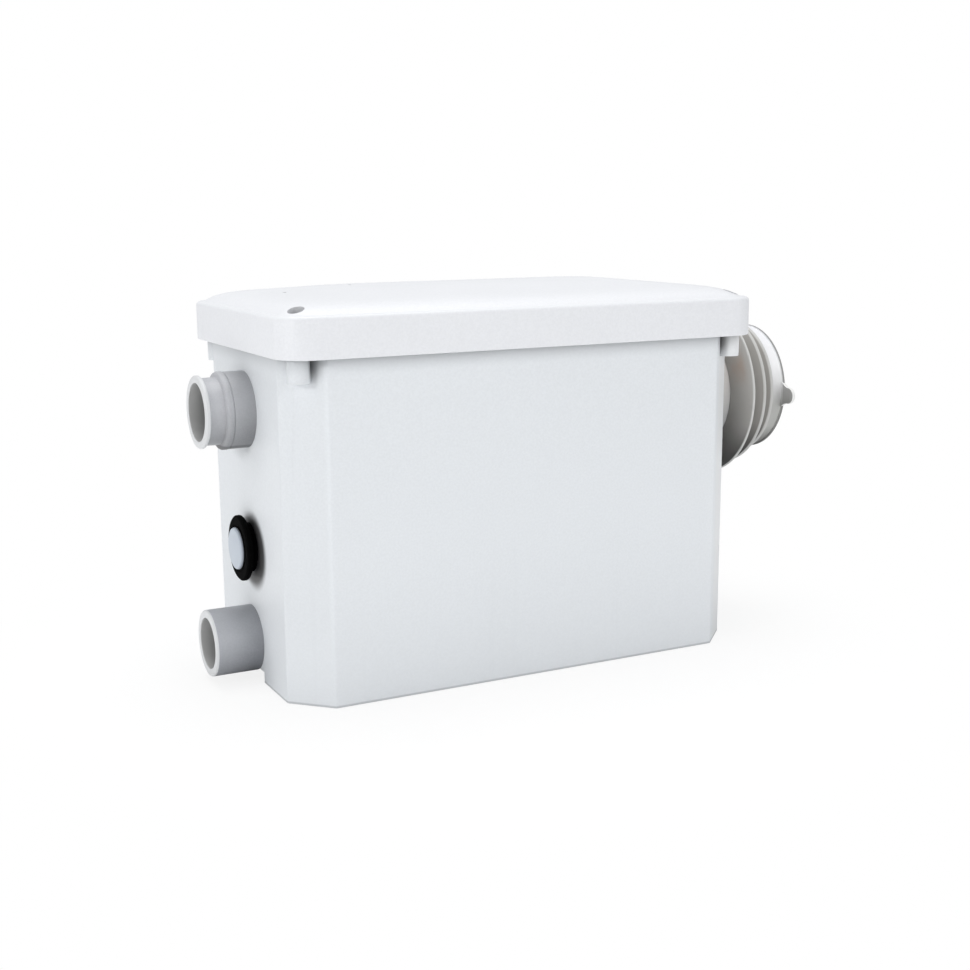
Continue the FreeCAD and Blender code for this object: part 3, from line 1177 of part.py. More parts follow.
def make_cable_gland():
    """Cable gland in the back wall with its inner nut; its bore is open."""
    profile = [("gland_bore", "0"), ("gland_thread_radius", "0"),
               ("gland_thread_radius", "gland_thread_length"), ("gland_radius", "gland_thread_length"),
               ("gland_radius", "gland_thread_length + 5"), ("gland_radius - 1.2", "gland_thread_length + 5"),
               ("gland_radius - 1.2", "gland_thread_length + gland_reach - 3"),
               ("gland_bore + 1.5", "gland_thread_length + gland_reach"),
               ("gland_bore", "gland_thread_length + gland_reach")]
    turned("cable_gland", profile, ("gland_x", "half_depth - gland_thread_length", "gland_height"),
           TOWARDS_BACK)
    ring = ring_profile("gland_thread_radius + press_gap", "gland_radius", "0", "gland_nut_width")
    return turned("gland_nut", ring, ("gland_x", "gland_nut_place", "gland_height"), TOWARDS_BACK)


def make_vent():
    """Charcoal vent cartridge hung in the lid's frame, and the pad inside it."""
    shell = box("vent_shell", "vent_length", "vent_depth", "vent_height", "vent_left", "vent_front",
                "vent_top - vent_height")
    room = box("vent_room", "vent_length - 2 * vent_wall", "vent_depth - 2 * vent_wall", "vent_height",
               "vent_left + vent_wall", "vent_front + vent_wall", "vent_top - vent_height + vent_wall")
    slots = [box(f"vent_slot_{index}", "3", "vent_depth - 4 * vent_wall", "vent_wall + 2",
                 f"vent_left + vent_length * {index} / 8 - 1.5", "vent_front + 2 * vent_wall",
                 "vent_top - vent_height - 1")
             for index in range(1, 8)]
    node(cut("vent_form", shell, joined("vent_waste", [room] + slots)), "vent_cartridge")
    pad_block = box("vent_pad_block", "vent_length - 2 * vent_wall - 2 * seat_gap",
                    "vent_depth - 2 * vent_wall - 2 * seat_gap", "vent_height - vent_wall - seat_gap",
                    "vent_left + vent_wall + seat_gap", "vent_front + vent_wall + seat_gap",
                    "vent_top - vent_height + vent_wall")
    return node(pad_block, "vent_pad")


def build():
    """Builds every piece of the lifting station."""
    make_tank()
    make_lid()
    make_lid_gasket()
    make_lid_screws()
    make_discharge_spigot()
    make_discharge_seal()
    make_discharge_nut()
    make_flap("discharge_flap", "discharge_flap_radius", "discharge_hinge_rise", "discharge_flap_x",
              "discharge_hinge_x", "discharge_height")
    make_flap_pin("discharge_flap_pin", "discharge_pin_half", "discharge_hinge_rise",
                  "discharge_hinge_x", "discharge_height")
    make_inlet_spigot()
    make_flap("inlet_flap", "inlet_flap_radius", "inlet_hinge_rise", "inlet_flap_x",
              "inlet_hinge_x", "inlet_height")
    make_flap_pin("inlet_flap_pin", "inlet_pin_half", "inlet_hinge_rise", "inlet_hinge_x",
                  "inlet_height")
    make_plug_grommet()
    make_inlet_plug()
    make_wc_bellows()
    make_inlet_chute()
    make_motor_deck()
    make_deck_screws()
    make_motor_base()
    make_motor_screws()
    make_motor_housing()
    make_stator()
    make_rotor()
    make_bearings()
    make_pump()
    make_impeller()
    make_sieve_basket()
    make_cutter()
    make_discharge_riser()
    make_riser_clips()
    make_level_switch()
    make_capacitor()
    make_terminal_box()
    make_cable_gland()
    make_vent()


def check_and_write():
    """Stops at any broken object or shape, then writes one STEP file for each node."""
    doc.recompute()
    for item in doc.Objects:
        if "Invalid" in item.State or "Error" in item.State:
            raise RuntimeError(item.Label + " is not valid: " + str(item.State))
    for item in NODES:
        if item.Shape.isNull() or not item.Shape.isValid():
            raise RuntimeError(item.Label + " has a broken shape")
    os.makedirs("parts", exist_ok=True)
    for item in NODES:
        item.Shape.exportStep(f"parts/{item.Label}.step")


fill_sheets()
build()
check_and_write()
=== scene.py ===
import json
import math

import bmesh
import bpy
from mathutils import Matrix, Vector


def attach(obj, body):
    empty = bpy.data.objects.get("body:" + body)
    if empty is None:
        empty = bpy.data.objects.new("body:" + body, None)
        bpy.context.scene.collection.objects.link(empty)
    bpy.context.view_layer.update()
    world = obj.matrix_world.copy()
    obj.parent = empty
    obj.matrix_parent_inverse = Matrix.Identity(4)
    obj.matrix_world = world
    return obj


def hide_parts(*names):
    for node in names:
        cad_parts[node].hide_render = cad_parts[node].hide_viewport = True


# Sewage lifting station: the finishes of all its nodes, the detailed pieces that replace plain solids,
# the studio and the photo's camera. X runs towards the toilet connector, -Y is the front, Z is up and the
# floor is Z = 0. Places and sizes are in millimetres. Patterns repeat per metre, and lamps stand in metres.

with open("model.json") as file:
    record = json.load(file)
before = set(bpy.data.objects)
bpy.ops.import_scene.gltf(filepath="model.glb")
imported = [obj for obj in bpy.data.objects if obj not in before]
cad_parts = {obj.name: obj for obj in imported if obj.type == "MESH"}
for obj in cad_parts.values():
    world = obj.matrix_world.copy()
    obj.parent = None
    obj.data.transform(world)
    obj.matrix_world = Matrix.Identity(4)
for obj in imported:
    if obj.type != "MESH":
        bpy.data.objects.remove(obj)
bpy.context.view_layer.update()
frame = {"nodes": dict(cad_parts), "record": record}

MM = 0.001

# Places that finishes and pieces share
SCREW_X = 165.0
SCREW_Y = 85.5
LID_SCREWS = [(x, y) for x in (-SCREW_X, SCREW_X) for y in (-SCREW_Y, SCREW_Y)]
VENT_HOLES = (-140.5, -93.0)
VENT_ROW = 5.0
DISCHARGE_HEIGHT = 187.8
DISCHARGE_END = -206.8
DISCHARGE_COLLAR = 3.1
WASTE_HEIGHT = 27.5
WASTE_END = -206.5
WASTE_COLLAR = 1.2
PLUG_HEIGHT = 92.0
MOTOR_X = 60.0
BELLOWS_X = 197.8
BELLOWS_Z = 177.5


# Shader maths

class Value:
    """A shader output that adds, multiplies and compares like a number."""

    def __init__(self, finish, socket):
        self.finish = finish
        self.socket = socket

    def __add__(self, other):
        return self.finish.maths("ADD", self, other)

    def __sub__(self, other):
        return self.finish.maths("SUBTRACT", self, other)

    def __rsub__(self, other):
        return self.finish.maths("SUBTRACT", other, self)

    def __mul__(self, other):
        return self.finish.maths("MULTIPLY", self, other)

    def __pow__(self, other):
        return self.finish.maths("POWER", self, other)

    def __abs__(self):
        return self.finish.maths("ABSOLUTE", self, 0.0)

    __radd__ = __add__
    __rmul__ = __mul__


class Finish:
    """One procedural material, the nodes that make it and its Object coordinates in metres."""

    def __init__(self, name):
        self.material = bpy.data.materials.new(name)
        self.material.use_nodes = True
        self.tree = self.material.node_tree
        self.tree.nodes.clear()
        self.output = self.tree.nodes.new("ShaderNodeOutputMaterial")
        coordinates = self.node("ShaderNodeTexCoord", {}, {})
        self.vector = Value(self, coordinates.outputs["Object"])
        parts = self.node("ShaderNodeSeparateXYZ", {}, {0: self.vector})
        self.x, self.y, self.z = (Value(self, parts.outputs[index]) for index in range(3))

    def node(self, kind, settings, inputs):
        """Adds a node, sets its settings first and then its sockets."""
        made = self.tree.nodes.new(kind)
        for name, setting in settings.items():
            if name == "stops":
                self.fill_ramp(made.color_ramp, setting)
            else:
                setattr(made, name, setting)
        for name, value in inputs.items():
            self.feed(made.inputs[name], value)
        return made

    def fill_ramp(self, ramp, stops):
        """Writes a ramp's stops as (place, colour) pairs."""
        while len(ramp.elements) < len(stops):
            ramp.elements.new(0.5)
        for element, (place, colour) in zip(ramp.elements, stops):
            element.position = place
            element.color = (*colour, 1.0)

    def feed(self, socket, value):
        """Links a shader output to a socket, or writes a plain value there."""
        if isinstance(value, Value):
            self.tree.links.new(value.socket, socket)
        elif isinstance(value, tuple) and len(value) == 3 and socket.type == "RGBA":
            socket.default_value = (*value, 1.0)
        else:
            socket.default_value = value

    def maths(self, operation, first, second):
        made = self.node("ShaderNodeMath", {"operation": operation}, {0: first, 1: second})
        return Value(self, made.outputs[0])

    def waves(self, value, per_metre):
        """Even waves from -1 to 1 along a distance."""
        return self.maths("SINE", value * per_metre, 0.0)

    def between(self, value, low, high):
        """0 below low, 1 above high, and a smooth climb between them."""
        made = self.node("ShaderNodeMapRange", {"interpolation_type": "SMOOTHSTEP"},
                         {"Value": value, "From Min": low, "From Max": high})
        return Value(self, made.outputs["Result"])

    def past(self, distance, low, high):
        """0 before low and 1 past high, both in millimetres."""
        return self.between(distance, low * MM, high * MM)

    def band(self, distance, low, high, edge):
        """1 between low and high, fading out over an edge, all in millimetres."""
        return self.past(distance, low - edge, low) * (1 - self.past(distance, high, high + edge))

    def ramp(self, distance, low, high, stops):
        """A colour from a row of (place, tone on screen) stops, each place between low and high."""
        share = self.node("ShaderNodeMapRange", {},
                          {"Value": distance, "From Min": low * MM, "From Max": high * MM})
        marks = [((spot - low) / (high - low), linear(*tone)) for spot, tone in stops]
        made = self.node("ShaderNodeValToRGB", {"stops": marks}, {0: Value(self, share.outputs["Result"])})
        return Value(self, made.outputs[0])

    def mixed(self, share, first, second):
        """A colour between two, by a share from 0 to 1."""
        made = self.node("ShaderNodeMix", {"data_type": "RGBA"}, {0: share, 6: first, 7: second})
        return Value(self, made.outputs[2])

    def noise(self, scale, detail, rough, stretch=None):
        """Clouds or grain, drawn out along an axis where its stretch is smaller than the others."""
        vector = self.vector
        if stretch:
            mapping = self.node("ShaderNodeMapping", {}, {"Vector": vector, "Scale": stretch})
            vector = Value(self, mapping.outputs[0])
        made = self.node("ShaderNodeTexNoise", {},
                         {"Vector": vector, "Scale": scale, "Detail": detail, "Roughness": rough})
        return Value(self, made.outputs["Fac"])

    def cells(self, scale):
        """Soft pebbles."""
        made = self.node("ShaderNodeTexVoronoi", {"feature": "SMOOTH_F1"},
                         {"Vector": self.vector, "Scale": scale})
        return Value(self, made.outputs["Distance"])

    def bump(self, height, strength, distance):
        made = self.node("ShaderNodeBump", {},
                         {"Height": height, "Strength": strength, "Distance": distance})
        return Value(self, made.outputs[0])

    def surface(self, colour, roughness, normal, **rest):
        """Closes the material with a Principled shader."""
        inputs = {"Base Color": colour, "Roughness": roughness, "Normal": normal}
        inputs.update(rest)
        shader = self.node("ShaderNodeBsdfPrincipled", {}, inputs)
        self.tree.links.new(shader.outputs[0], self.output.inputs[0])
        return self.material


def linear(red, green, blue):
    """A colour as it looks on screen, 0 to 255, in the shader's own scale."""
    def step(level):
        level = level / 255.0
        return level / 12.92 if level <= 0.04045 else ((level + 0.055) / 1.055) ** 2.4
    return step(red), step(green), step(blue)


def scaled(colour, share):
    return tuple(min(1.0, level * share) for level in colour)


def length(first, second):
    """Distance from an axis, by two offsets at right angles."""
    return (first * first + second * second) ** 0.5


# Housing finish

BLACK = (0.0, 0.0, 0.0)
TANK_WHITE = linear(226, 229, 232)
LID_WHITE = linear(230, 231, 234)
SHELL_GRAIN = 620.0
SEAT_SHADE = 5.4
VENT_SHADE = 1.3


def foot_and_rim_shades(finish, tone):
    """Faint drawn lines, painted shade that greys the wall low down, and painted shade under the lid."""
    drawn = finish.noise(1.0, 3.0, 0.6, (160.0, 160.0, 3.0))
    low = 1 - finish.past(finish.z, 20.0, 150.0)
    tone = finish.mixed(finish.between(drawn, 0.56, 0.74) * low * 0.30, tone, scaled(TANK_WHITE, 0.93))
    # Painted shade: the wall greys towards the foot.
    footing = 1 - finish.past(finish.z, -20.0, 110.0)
    tone = finish.mixed(footing * 0.5, tone, scaled(TANK_WHITE, 0.90))
    # Painted shade under the lid's edge.
    return finish.mixed(finish.past(finish.z, 216.5, 229.5) * 0.8, tone, scaled(TANK_WHITE, 0.70))


def painted_boss_shade(finish, tone):
    """Painted shade where a screw boss leaves the wall, towards the middle, narrower on the right."""
    right = finish.past(finish.x, -50.0, 50.0)
    past_x = abs(finish.x) - SCREW_X * MM
    ring = length(past_x, abs(finish.y) - SCREW_Y * MM)
    fade = finish.between(ring, 0.0080, 0.018 - right * 0.0068)
    # Painted shade on the wall next to each boss, fading away from it.
    boss_shade = finish.past(ring, 7.0, 7.8) * (1 - fade)
    boss_shade = boss_shade * (1 - finish.past(past_x, -7.5, -2.5)) * finish.past(finish.z, 210.5, 223.5)
    return finish.mixed(boss_shade * 0.8, tone, linear(70, 71, 73))


def stub_shade(finish, tone):
    """Painted shade on the toilet stub, slightly yellow and darker low down."""
    stub = finish.past(finish.x, 174.2, 175.0) * (1 - finish.past(finish.z, 222.0, 226.0))
    stub = stub * finish.past(finish.z, 120.0, 130.0)
    # Painted shade, darker low down.
    shaded_stub = finish.mixed(finish.past(finish.z, 150.0, 205.0), linear(144, 140, 135), linear(202, 190, 178))
    return finish.mixed(stub * 0.55, tone, shaded_stub)


def grommet_shade(finish, tone):
    """Deep shade on the end wall round the grommet, wider towards the front."""
    reach = length(finish.y + 7.0 * MM, finish.z - (PLUG_HEIGHT - 1.5) * MM)
    shade = (1 - finish.past(reach, 20.5, 29.5)) * (1 - finish.past(finish.x, -172.0, -171.0))
    return finish.mixed(shade * 0.93, tone, linear(26, 21, 20))


def painted_edge_light(finish, tone):
    """Painted light and shade: left end a little darker, front right chamfer a little warmer, a fine dark
    line along the foot.
    """
    # Painted shade on the left end.
    left = (1 - finish.past(finish.x, -152.0, -148.5)) * finish.past(finish.z, 20.0, 70.0)
    tone = finish.mixed(left * 0.05, tone, BLACK)
    # Painted warm light on the front right chamfer.
    warm_light = finish.past(finish.x, 150.0, 162.0) * (1 - finish.past(finish.y, -72.5, -69.0))
    tone = finish.mixed(warm_light * 0.045, tone, (1.0, 0.75, 0.45))
    # Painted shade along the foot's rounded edge.
    return finish.mixed((1 - finish.past(finish.z, 0.7, 2.0)) * 0.3, tone, BLACK)


# Painted shade and light on the tank's walls, over their faint drawn lines.
def tank_shades(finish, tone):
    for shade in (foot_and_rim_shades, painted_boss_shade, stub_shade, grommet_shade, painted_edge_light):
        tone = shade(finish, tone)
    return tone


def lid_shades(finish, tone):
    """Shade in the left screw seats and round the vent holes, deeper on their right."""
    spots = [(-SCREW_X, side * SCREW_Y, SEAT_SHADE, 0.3) for side in (-1, 1)]
    spots += [(hole, VENT_ROW, VENT_SHADE, 0.7) for hole in VENT_HOLES]
    for centre_x, centre_y, reach, share in spots:
        across = finish.x - centre_x * MM
        near = 1 - finish.past(length(across, finish.y - centre_y * MM), reach, reach + 0.3)
        near = near * (finish.past(across, -4.0, 1.5) * 0.7 + 0.3)
        tone = finish.mixed(near * share, tone, linear(84, 82, 80))
    return tone


def shell_white(name, colour, shades):
    """White housing plastic: visible grain and flow clouds, then the shades of its own piece."""
    finish = Finish(name)
    grains = finish.noise(SHELL_GRAIN, 4.0, 0.62)
    clouds = finish.noise(9.0, 4.0, 0.6)
    pebble = finish.cells(SHELL_GRAIN * 0.55)
    mottle = finish.between(grains, 0.30, 0.70)
    tone = finish.mixed(mottle * 0.6 + clouds * 0.4, scaled(colour, 0.955), scaled(colour, 1.03))
    gloss = clouds * 0.12 + grains * 0.08 + 0.36
    relief = finish.bump(grains * 0.6 + pebble * 0.4, 0.6, 0.00008)
    return finish.surface(shades(finish, tone), gloss, relief)


# Finishes of the other pieces

def moulded(name, colour, roughness=0.42, grain=850.0, relief=0.00004, spread=0.03):
    """Moulded plastic: fine spark-eroded grain, faint flow clouds and a changing gloss."""
    finish = Finish(name)
    grains = finish.noise(grain, 3.0, 0.6)
    clouds = finish.noise(14.0, 3.0, 0.55)
    tone = finish.mixed(clouds * 0.75 + grains * 0.25, scaled(colour, 1 - spread),
                        scaled(colour, 1 + spread))
    gloss = clouds * 0.10 + grains * 0.06 + (roughness - 0.08)
    return finish.surface(tone, gloss, finish.bump(grains, 0.5, relief))


def rubber(name, colour, roughness=0.62, **rest):
    """Matt rubber with a fine bloom and small pores."""
    finish = Finish(name)
    pores = finish.noise(1400.0, 2.0, 0.6)
    bloom = finish.noise(55.0, 4.0, 0.6)
    dust = finish.between(bloom, 0.52, 0.75)
    tone = finish.mixed(dust * 0.35, colour, scaled(colour, 1.9))
    return finish.surface(tone, pores * 0.12 + (roughness - 0.05), finish.bump(pores, 0.4, 0.00003),
                          **rest)


# Ribs from the connector's left end, for the flanks' painted shade: start, end, radius of the valley and of
# the tip.
RIBS = ((0.0, 8.3, 45.0, 67.0), (13.9, 24.0, 52.0, 60.0), (28.0, 36.2, 47.5, 53.0))
# Painted highlight along the ribs' edges: start, end and radius of the tip.
RIB_TIPS = ((5.2, 8.3, 65.8), (20.8, 24.0, 59.0), (33.0, 36.2, 52.1))
# Sleeve's painted light and shade: tones on screen by the height over its axis, light on top, dark
# underneath.
SLEEVE_TONES = ((-46, (72, 72, 70)), (-39, (108, 108, 104)), (-26, (172, 172, 169)),
                (-8, (177, 177, 174)), (8, (228, 228, 228)), (24, (248, 248, 249)),
                (44, (240, 240, 243)))
TAB_ROOT = (49.5, 49.9)


def flank_tone(finish, rise, radius, clouds):
    """Ribs' sides with painted shade: dark in the valleys and low down, and one brown patch near the wall."""
    # Painted shade from each rib's valley to its tip, lighter towards the tip.
    climb = 0.0
    for start, end, valley, tip in RIBS:
        here = finish.band(finish.x, BELLOWS_X + start, BELLOWS_X + end, 0.2)
        climb = here * finish.past(radius, valley, tip) + climb
    # Painted light higher up, painted shade lower down.
    high = finish.past(rise, -60.0, 15.0)
    tone = finish.mixed(high * 0.5 + climb * 0.35 + clouds * 0.15, linear(62, 59, 55), linear(196, 193, 188))
    tone = finish.mixed(finish.past(finish.x, 207.5, 211.0) * 0.28, tone, linear(70, 67, 63))
    # Painted shade, darkest at the bottom.
    sunk = 1 - finish.past(rise, -53.0, -18.0)
    tone = finish.mixed(sunk * 0.86, tone, linear(30, 28, 26))
    brown_patch = finish.band(rise, 14.0, 34.0, 10.0) * (1 - finish.past(finish.x, 201.0, 203.0))
    return finish.mixed(brown_patch * finish.between(clouds, 0.35, 0.65) * 0.45, tone, linear(168, 138, 116))


def rim_and_tab_tones(finish, tone, radius):
    """Painted shade as a dark line round the rim, and greyer sides and pale ends of the pull tabs."""
    # Painted shade: a dark line round the rim's edge.
    rim = finish.band(finish.x, 245.6, 247.5, 0.3) * finish.past(radius, 47.8, 48.2)
    rim = rim * (1 - finish.past(radius, 49.2, 49.6))
    tone = finish.mixed(rim * 0.8, tone, linear(100, 100, 98))
    tab = finish.past(radius, *TAB_ROOT)
    side = tab * finish.past(finish.x, 240.0, 240.5) * (1 - finish.past(finish.x, 244.25, 244.4))
    tone = finish.mixed(side, tone, linear(161, 160, 158))
    return finish.mixed(tab * finish.past(finish.x, 244.3, 244.5), tone, linear(236, 236, 234))


def connector_rubber(name):
    """Grey connector rubber, painted light and shade: shaded flanks, highlit rib edges, a sleeve greying
    downwards.
    """
    finish = Finish(name)
    rise = finish.z - BELLOWS_Z * MM
    radius = length(finish.y, rise)
    clouds = finish.noise(32.0, 4.0, 0.6)
    pores = finish.noise(1300.0, 2.0, 0.6)
    # Painted light and shade on the sleeve, pale on top and grey underneath.
    sleeve = finish.ramp(rise + clouds * 0.004, -47.0, 46.0, SLEEVE_TONES)
    tone = finish.mixed(finish.past(finish.x, 235.2, 236.0), flank_tone(finish, rise, radius, clouds), sleeve)
    for start, end, tip in RIB_TIPS:
        # Painted highlight on each rib's edge.
        tip_highlight = finish.band(finish.x, BELLOWS_X + start, BELLOWS_X + end, 0.2)
        tip_highlight = tip_highlight * finish.past(radius, tip - 0.9, tip - 0.4)
        tone = finish.mixed(tip_highlight * 0.75, tone, linear(213, 213, 211))
    tone = rim_and_tab_tones(finish, tone, radius)
    grime = finish.between(finish.noise(70.0, 5.0, 0.7), 0.55, 0.8)
    tone = finish.mixed(grime * 0.15, tone, linear(104, 98, 90))
    return finish.surface(tone, clouds * 0.1 + 0.46, finish.bump(pores, 0.35, 0.00004))


def spigot_grey(name, dark, pale, axis_height, end, collar):
    """Grey pipe plastic, painted shade underneath, towards the wall and deep in the bore, with a pale end."""
    finish = Finish(name)
    rise = finish.z - axis_height * MM
    clouds = finish.noise(45.0, 3.0, 0.55)
    grains = finish.noise(900.0, 3.0, 0.6)
    # Painted shade: darker underneath and towards the wall.
    shade = finish.past(rise, -26.0, 12.0)
    near = 1 - finish.past(finish.x, end + 4.0, end + 33.0)
    share = shade * 0.55 + near * 0.27 + clouds * 0.1 + finish.between(grains, 0.3, 0.7) * 0.08
    tone = finish.mixed(share, dark, pale)
    rim = 1 - finish.past(finish.x, end + collar, end + collar + 0.4)
    tone = finish.mixed(rim * 0.9, tone, linear(216, 217, 218))
    # Painted shade in the bore, darker deeper in.
    inside = 1 - finish.past(length(finish.y, rise), 19.9, 20.3)
    depth = finish.past(finish.x, end - 2.0, end + 22.0)
    bore = finish.mixed(depth, linear(190, 190, 189), linear(80, 80, 80))
    tone = finish.mixed(inside * finish.past(finish.x, end + 0.1, end + 0.5), tone, bore)
    # Painted shade: a dark line along the underside.
    under = 1 - finish.past(rise, -23.2, -21.5)
    tone = finish.mixed(under * (1 - rim) * 0.75, tone, linear(60, 60, 62))
    return finish.surface(tone, clouds * 0.12 + 0.36, finish.bump(grains, 0.45, 0.00004))


def metal(name, colour, roughness, direction, grain):
    """Metal with fine working marks along one direction."""
    finish = Finish(name)
    marks = finish.noise(grain, 3.0, 0.6, direction)
    stains = finish.noise(60.0, 4.0, 0.6)
    tone = finish.mixed(stains * 0.7 + marks * 0.3, scaled(colour, 0.86), scaled(colour, 1.08))
    return finish.surface(tone, marks * 0.18 + stains * 0.12 + (roughness - 0.15),
                          finish.bump(marks, 0.3, 0.00003), Metallic=1.0)


def copper_winding(name):
    """Enamelled copper wire: fine rings round the motor's axis."""
    finish = Finish(name)
    radius = length(finish.x - MOTOR_X * MM, finish.y)
    weave = finish.waves(radius, 5200.0) * 0.25 + finish.waves(finish.z, 5200.0) * 0.25 + 0.5
    tone = finish.mixed(weave, linear(116, 52, 24), linear(204, 118, 62))
    return finish.surface(tone, 0.34, finish.bump(weave, 0.6, 0.0002), Metallic=0.7)


def laminated(name, colour):
    """Stack of thin steel sheets: even lines across the height."""
    finish = Finish(name)
    sheets = finish.waves(finish.z, 8000.0) * 0.5 + 0.5
    stains = finish.noise(90.0, 4.0, 0.6)
    tone = finish.mixed(sheets * 0.6 + stains * 0.4, scaled(colour, 0.7), scaled(colour, 1.2))
    return finish.surface(tone, stains * 0.2 + 0.35, finish.bump(sheets, 0.5, 0.0001), Metallic=0.8)


def felt(name):
    """Charcoal felt of the vent pad."""
    finish = Finish(name)
    fibres = finish.noise(700.0, 5.0, 0.75, (1.0, 1.0, 3.0))
    tone = finish.mixed(fibres, linear(26, 26, 27), linear(78, 77, 76))
    return finish.surface(tone, 0.95, finish.bump(fibres, 0.9, 0.0004))


MATERIALS = {
    "tank": shell_white("tank_white", TANK_WHITE, tank_shades),
    "lid": shell_white("lid_white", LID_WHITE, lid_shades),
    "lid_gasket": rubber("gasket_rubber", linear(44, 44, 46)),
    "steel_screws": metal("zinc_screws", linear(196, 197, 199), 0.36, (1.0, 1.0, 6.0), 500.0),
    "spigot_grey": moulded("fitting_grey", linear(150, 150, 150)),
    "flap_rubber": rubber("flap_rubber", linear(66, 66, 68)),
    "grommet_rubber": rubber("grommet_black", linear(3, 3, 3), 0.9, **{"Specular IOR Level": 0.05}),
    "plug_grey": moulded("plug_grey", linear(184, 192, 202), 0.4, 700.0, 0.00005, 0.05),
    "bellows_rubber": connector_rubber("connector_rubber"),
    "inner_plastic": moulded("inner_grey", linear(186, 188, 190), 0.45, 700.0, 0.00005, 0.05),
    "motor_cast": metal("cast_foot", linear(182, 184, 186), 0.5, (1.0, 1.0, 1.0), 420.0),
    "motor_can": moulded("motor_black", linear(58, 60, 64), 0.4, 500.0, 0.00006, 0.12),
    "core_steel": laminated("core_sheets", linear(118, 119, 122)),
    "winding": copper_winding("copper_wire"),
    "shaft_steel": metal("ground_steel", linear(206, 207, 210), 0.28, (1.0, 1.0, 8.0), 600.0),
    "hose_rubber": rubber("hose_rubber", linear(34, 34, 35), 0.55),
    "switch_black": moulded("switch_black", linear(38, 38, 40), 0.38, 800.0, 0.00004, 0.1),
    "button_red": moulded("button_red", linear(186, 40, 32), 0.34),
    "capacitor_can": metal("drawn_can", linear(214, 215, 217), 0.32, (1.0, 8.0, 1.0), 380.0),
    "vent_pad": felt("charcoal_felt"),
}

for entry in frame["record"]["subparts"]:
    part = frame["nodes"][entry["node"]]
    part.data.materials.clear()
    part.data.materials.append(MATERIALS[entry["material_slot"]])


# Mesh tools

def piece(name, shape, material, body, sharp=32.0):
    """Turns a finished bmesh into a piece that rides on a body."""
    mesh = bpy.data.meshes.new(name)
    shape.to_mesh(mesh)
    shape.free()
    for face in mesh.polygons:
        face.use_smooth = True
    mesh.set_sharp_from_angle(angle=math.radians(sharp))
    mesh.materials.append(material)
    made = bpy.data.objects.new(name, mesh)
    bpy.context.scene.collection.objects.link(made)
    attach(made, body)
    return made


def spin_profile(points, centre, axis, steps):
    """Spins a closed profile of (distance along the axis, radius) round an axis."""
    shape = bmesh.new()
    along = Vector(axis).normalized()
    side = Vector((0.0, 1.0, 0.0)) if abs(along.y) < 0.5 else Vector((1.0, 0.0, 0.0))
    origin = Vector(centre) * MM
    corners = [shape.verts.new(origin + (along * step + side * radius) * MM)
               for step, radius in points]
    for index, corner in enumerate(corners):
        shape.edges.new((corner, corners[(index + 1) % len(corners)]))
    bmesh.ops.spin(shape, geom=shape.verts[:] + shape.edges[:], cent=origin, axis=along,
                   angle=2 * math.pi, steps=steps, use_merge=True)
    bmesh.ops.remove_doubles(shape, verts=shape.verts[:], dist=1e-6)
    bmesh.ops.dissolve_degenerate(shape, dist=1e-7, edges=shape.edges[:])
    bmesh.ops.recalc_face_normals(shape, faces=shape.faces[:])
    return shape


def soften(shape, width, segments=3, least=28.0):
    """Rounds every edge that turns by more than an angle."""
    edges = [edge for edge in shape.edges
             if len(edge.link_faces) == 2 and edge.calc_face_angle(0.0) > math.radians(least)]
    bmesh.ops.bevel(shape, geom=edges, offset=width * MM, offset_type="OFFSET", segments=segments,
                    profile=0.5, affect="EDGES", clamp_overlap=True, material=-1)
    return shape


def turned_piece(name, points, centre, axis, material, body, steps, width, node):
    """A spun fitting with softened edges, in place of a node."""
    shape = soften(spin_profile(points, centre, axis, steps), width)
    made = piece(name, shape, material, body)
    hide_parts(node)


def cylinder(radius, low, high, x, y, segments=48):
    """Closed upright cylinder."""
    shape = bmesh.new()
    spot = Matrix.Translation(Vector((x, y, (low + high) / 2)) * MM)
    bmesh.ops.create_cone(shape, cap_ends=True, cap_tris=False, segments=segments,
                          radius1=radius * MM, radius2=radius * MM, depth=(high - low) * MM,
                          matrix=spot)
    return shape


def trimmed(target, cutter_shapes, operation):
    """Cuts away or adds a set of closed shapes, and removes the helpers."""
    tool = bmesh.new()
    for shape in cutter_shapes:
        helper = bpy.data.meshes.new("helper")
        shape.to_mesh(helper)
        shape.free()
        tool.from_mesh(helper)
        bpy.data.meshes.remove(helper)
    mesh = bpy.data.meshes.new("tool")
    tool.to_mesh(mesh)
    tool.free()
    helper = bpy.data.objects.new("tool", mesh)
    bpy.context.scene.collection.objects.link(helper)
    modifier = target.modifiers.new("trim", "BOOLEAN")
    modifier.operation = operation
    modifier.solver = "EXACT"
    modifier.object = helper
    shown = bpy.context.evaluated_depsgraph_get()
    finished = bpy.data.meshes.new_from_object(target.evaluated_get(shown))
    target.modifiers.remove(modifier)
    target.data = finished
    bpy.data.objects.remove(helper)
    bpy.data.meshes.remove(mesh)


# Lid

LID_HALF = (180.0, 102.5)
LID_CORNER = 22.0
LID_WALL = 3.0
LID_ROUND = 3.0
LID_EDGE = 229.0
RIM_PLANE = 256.0
CROWN = 12.4
CROWN_CORNER = 18.0
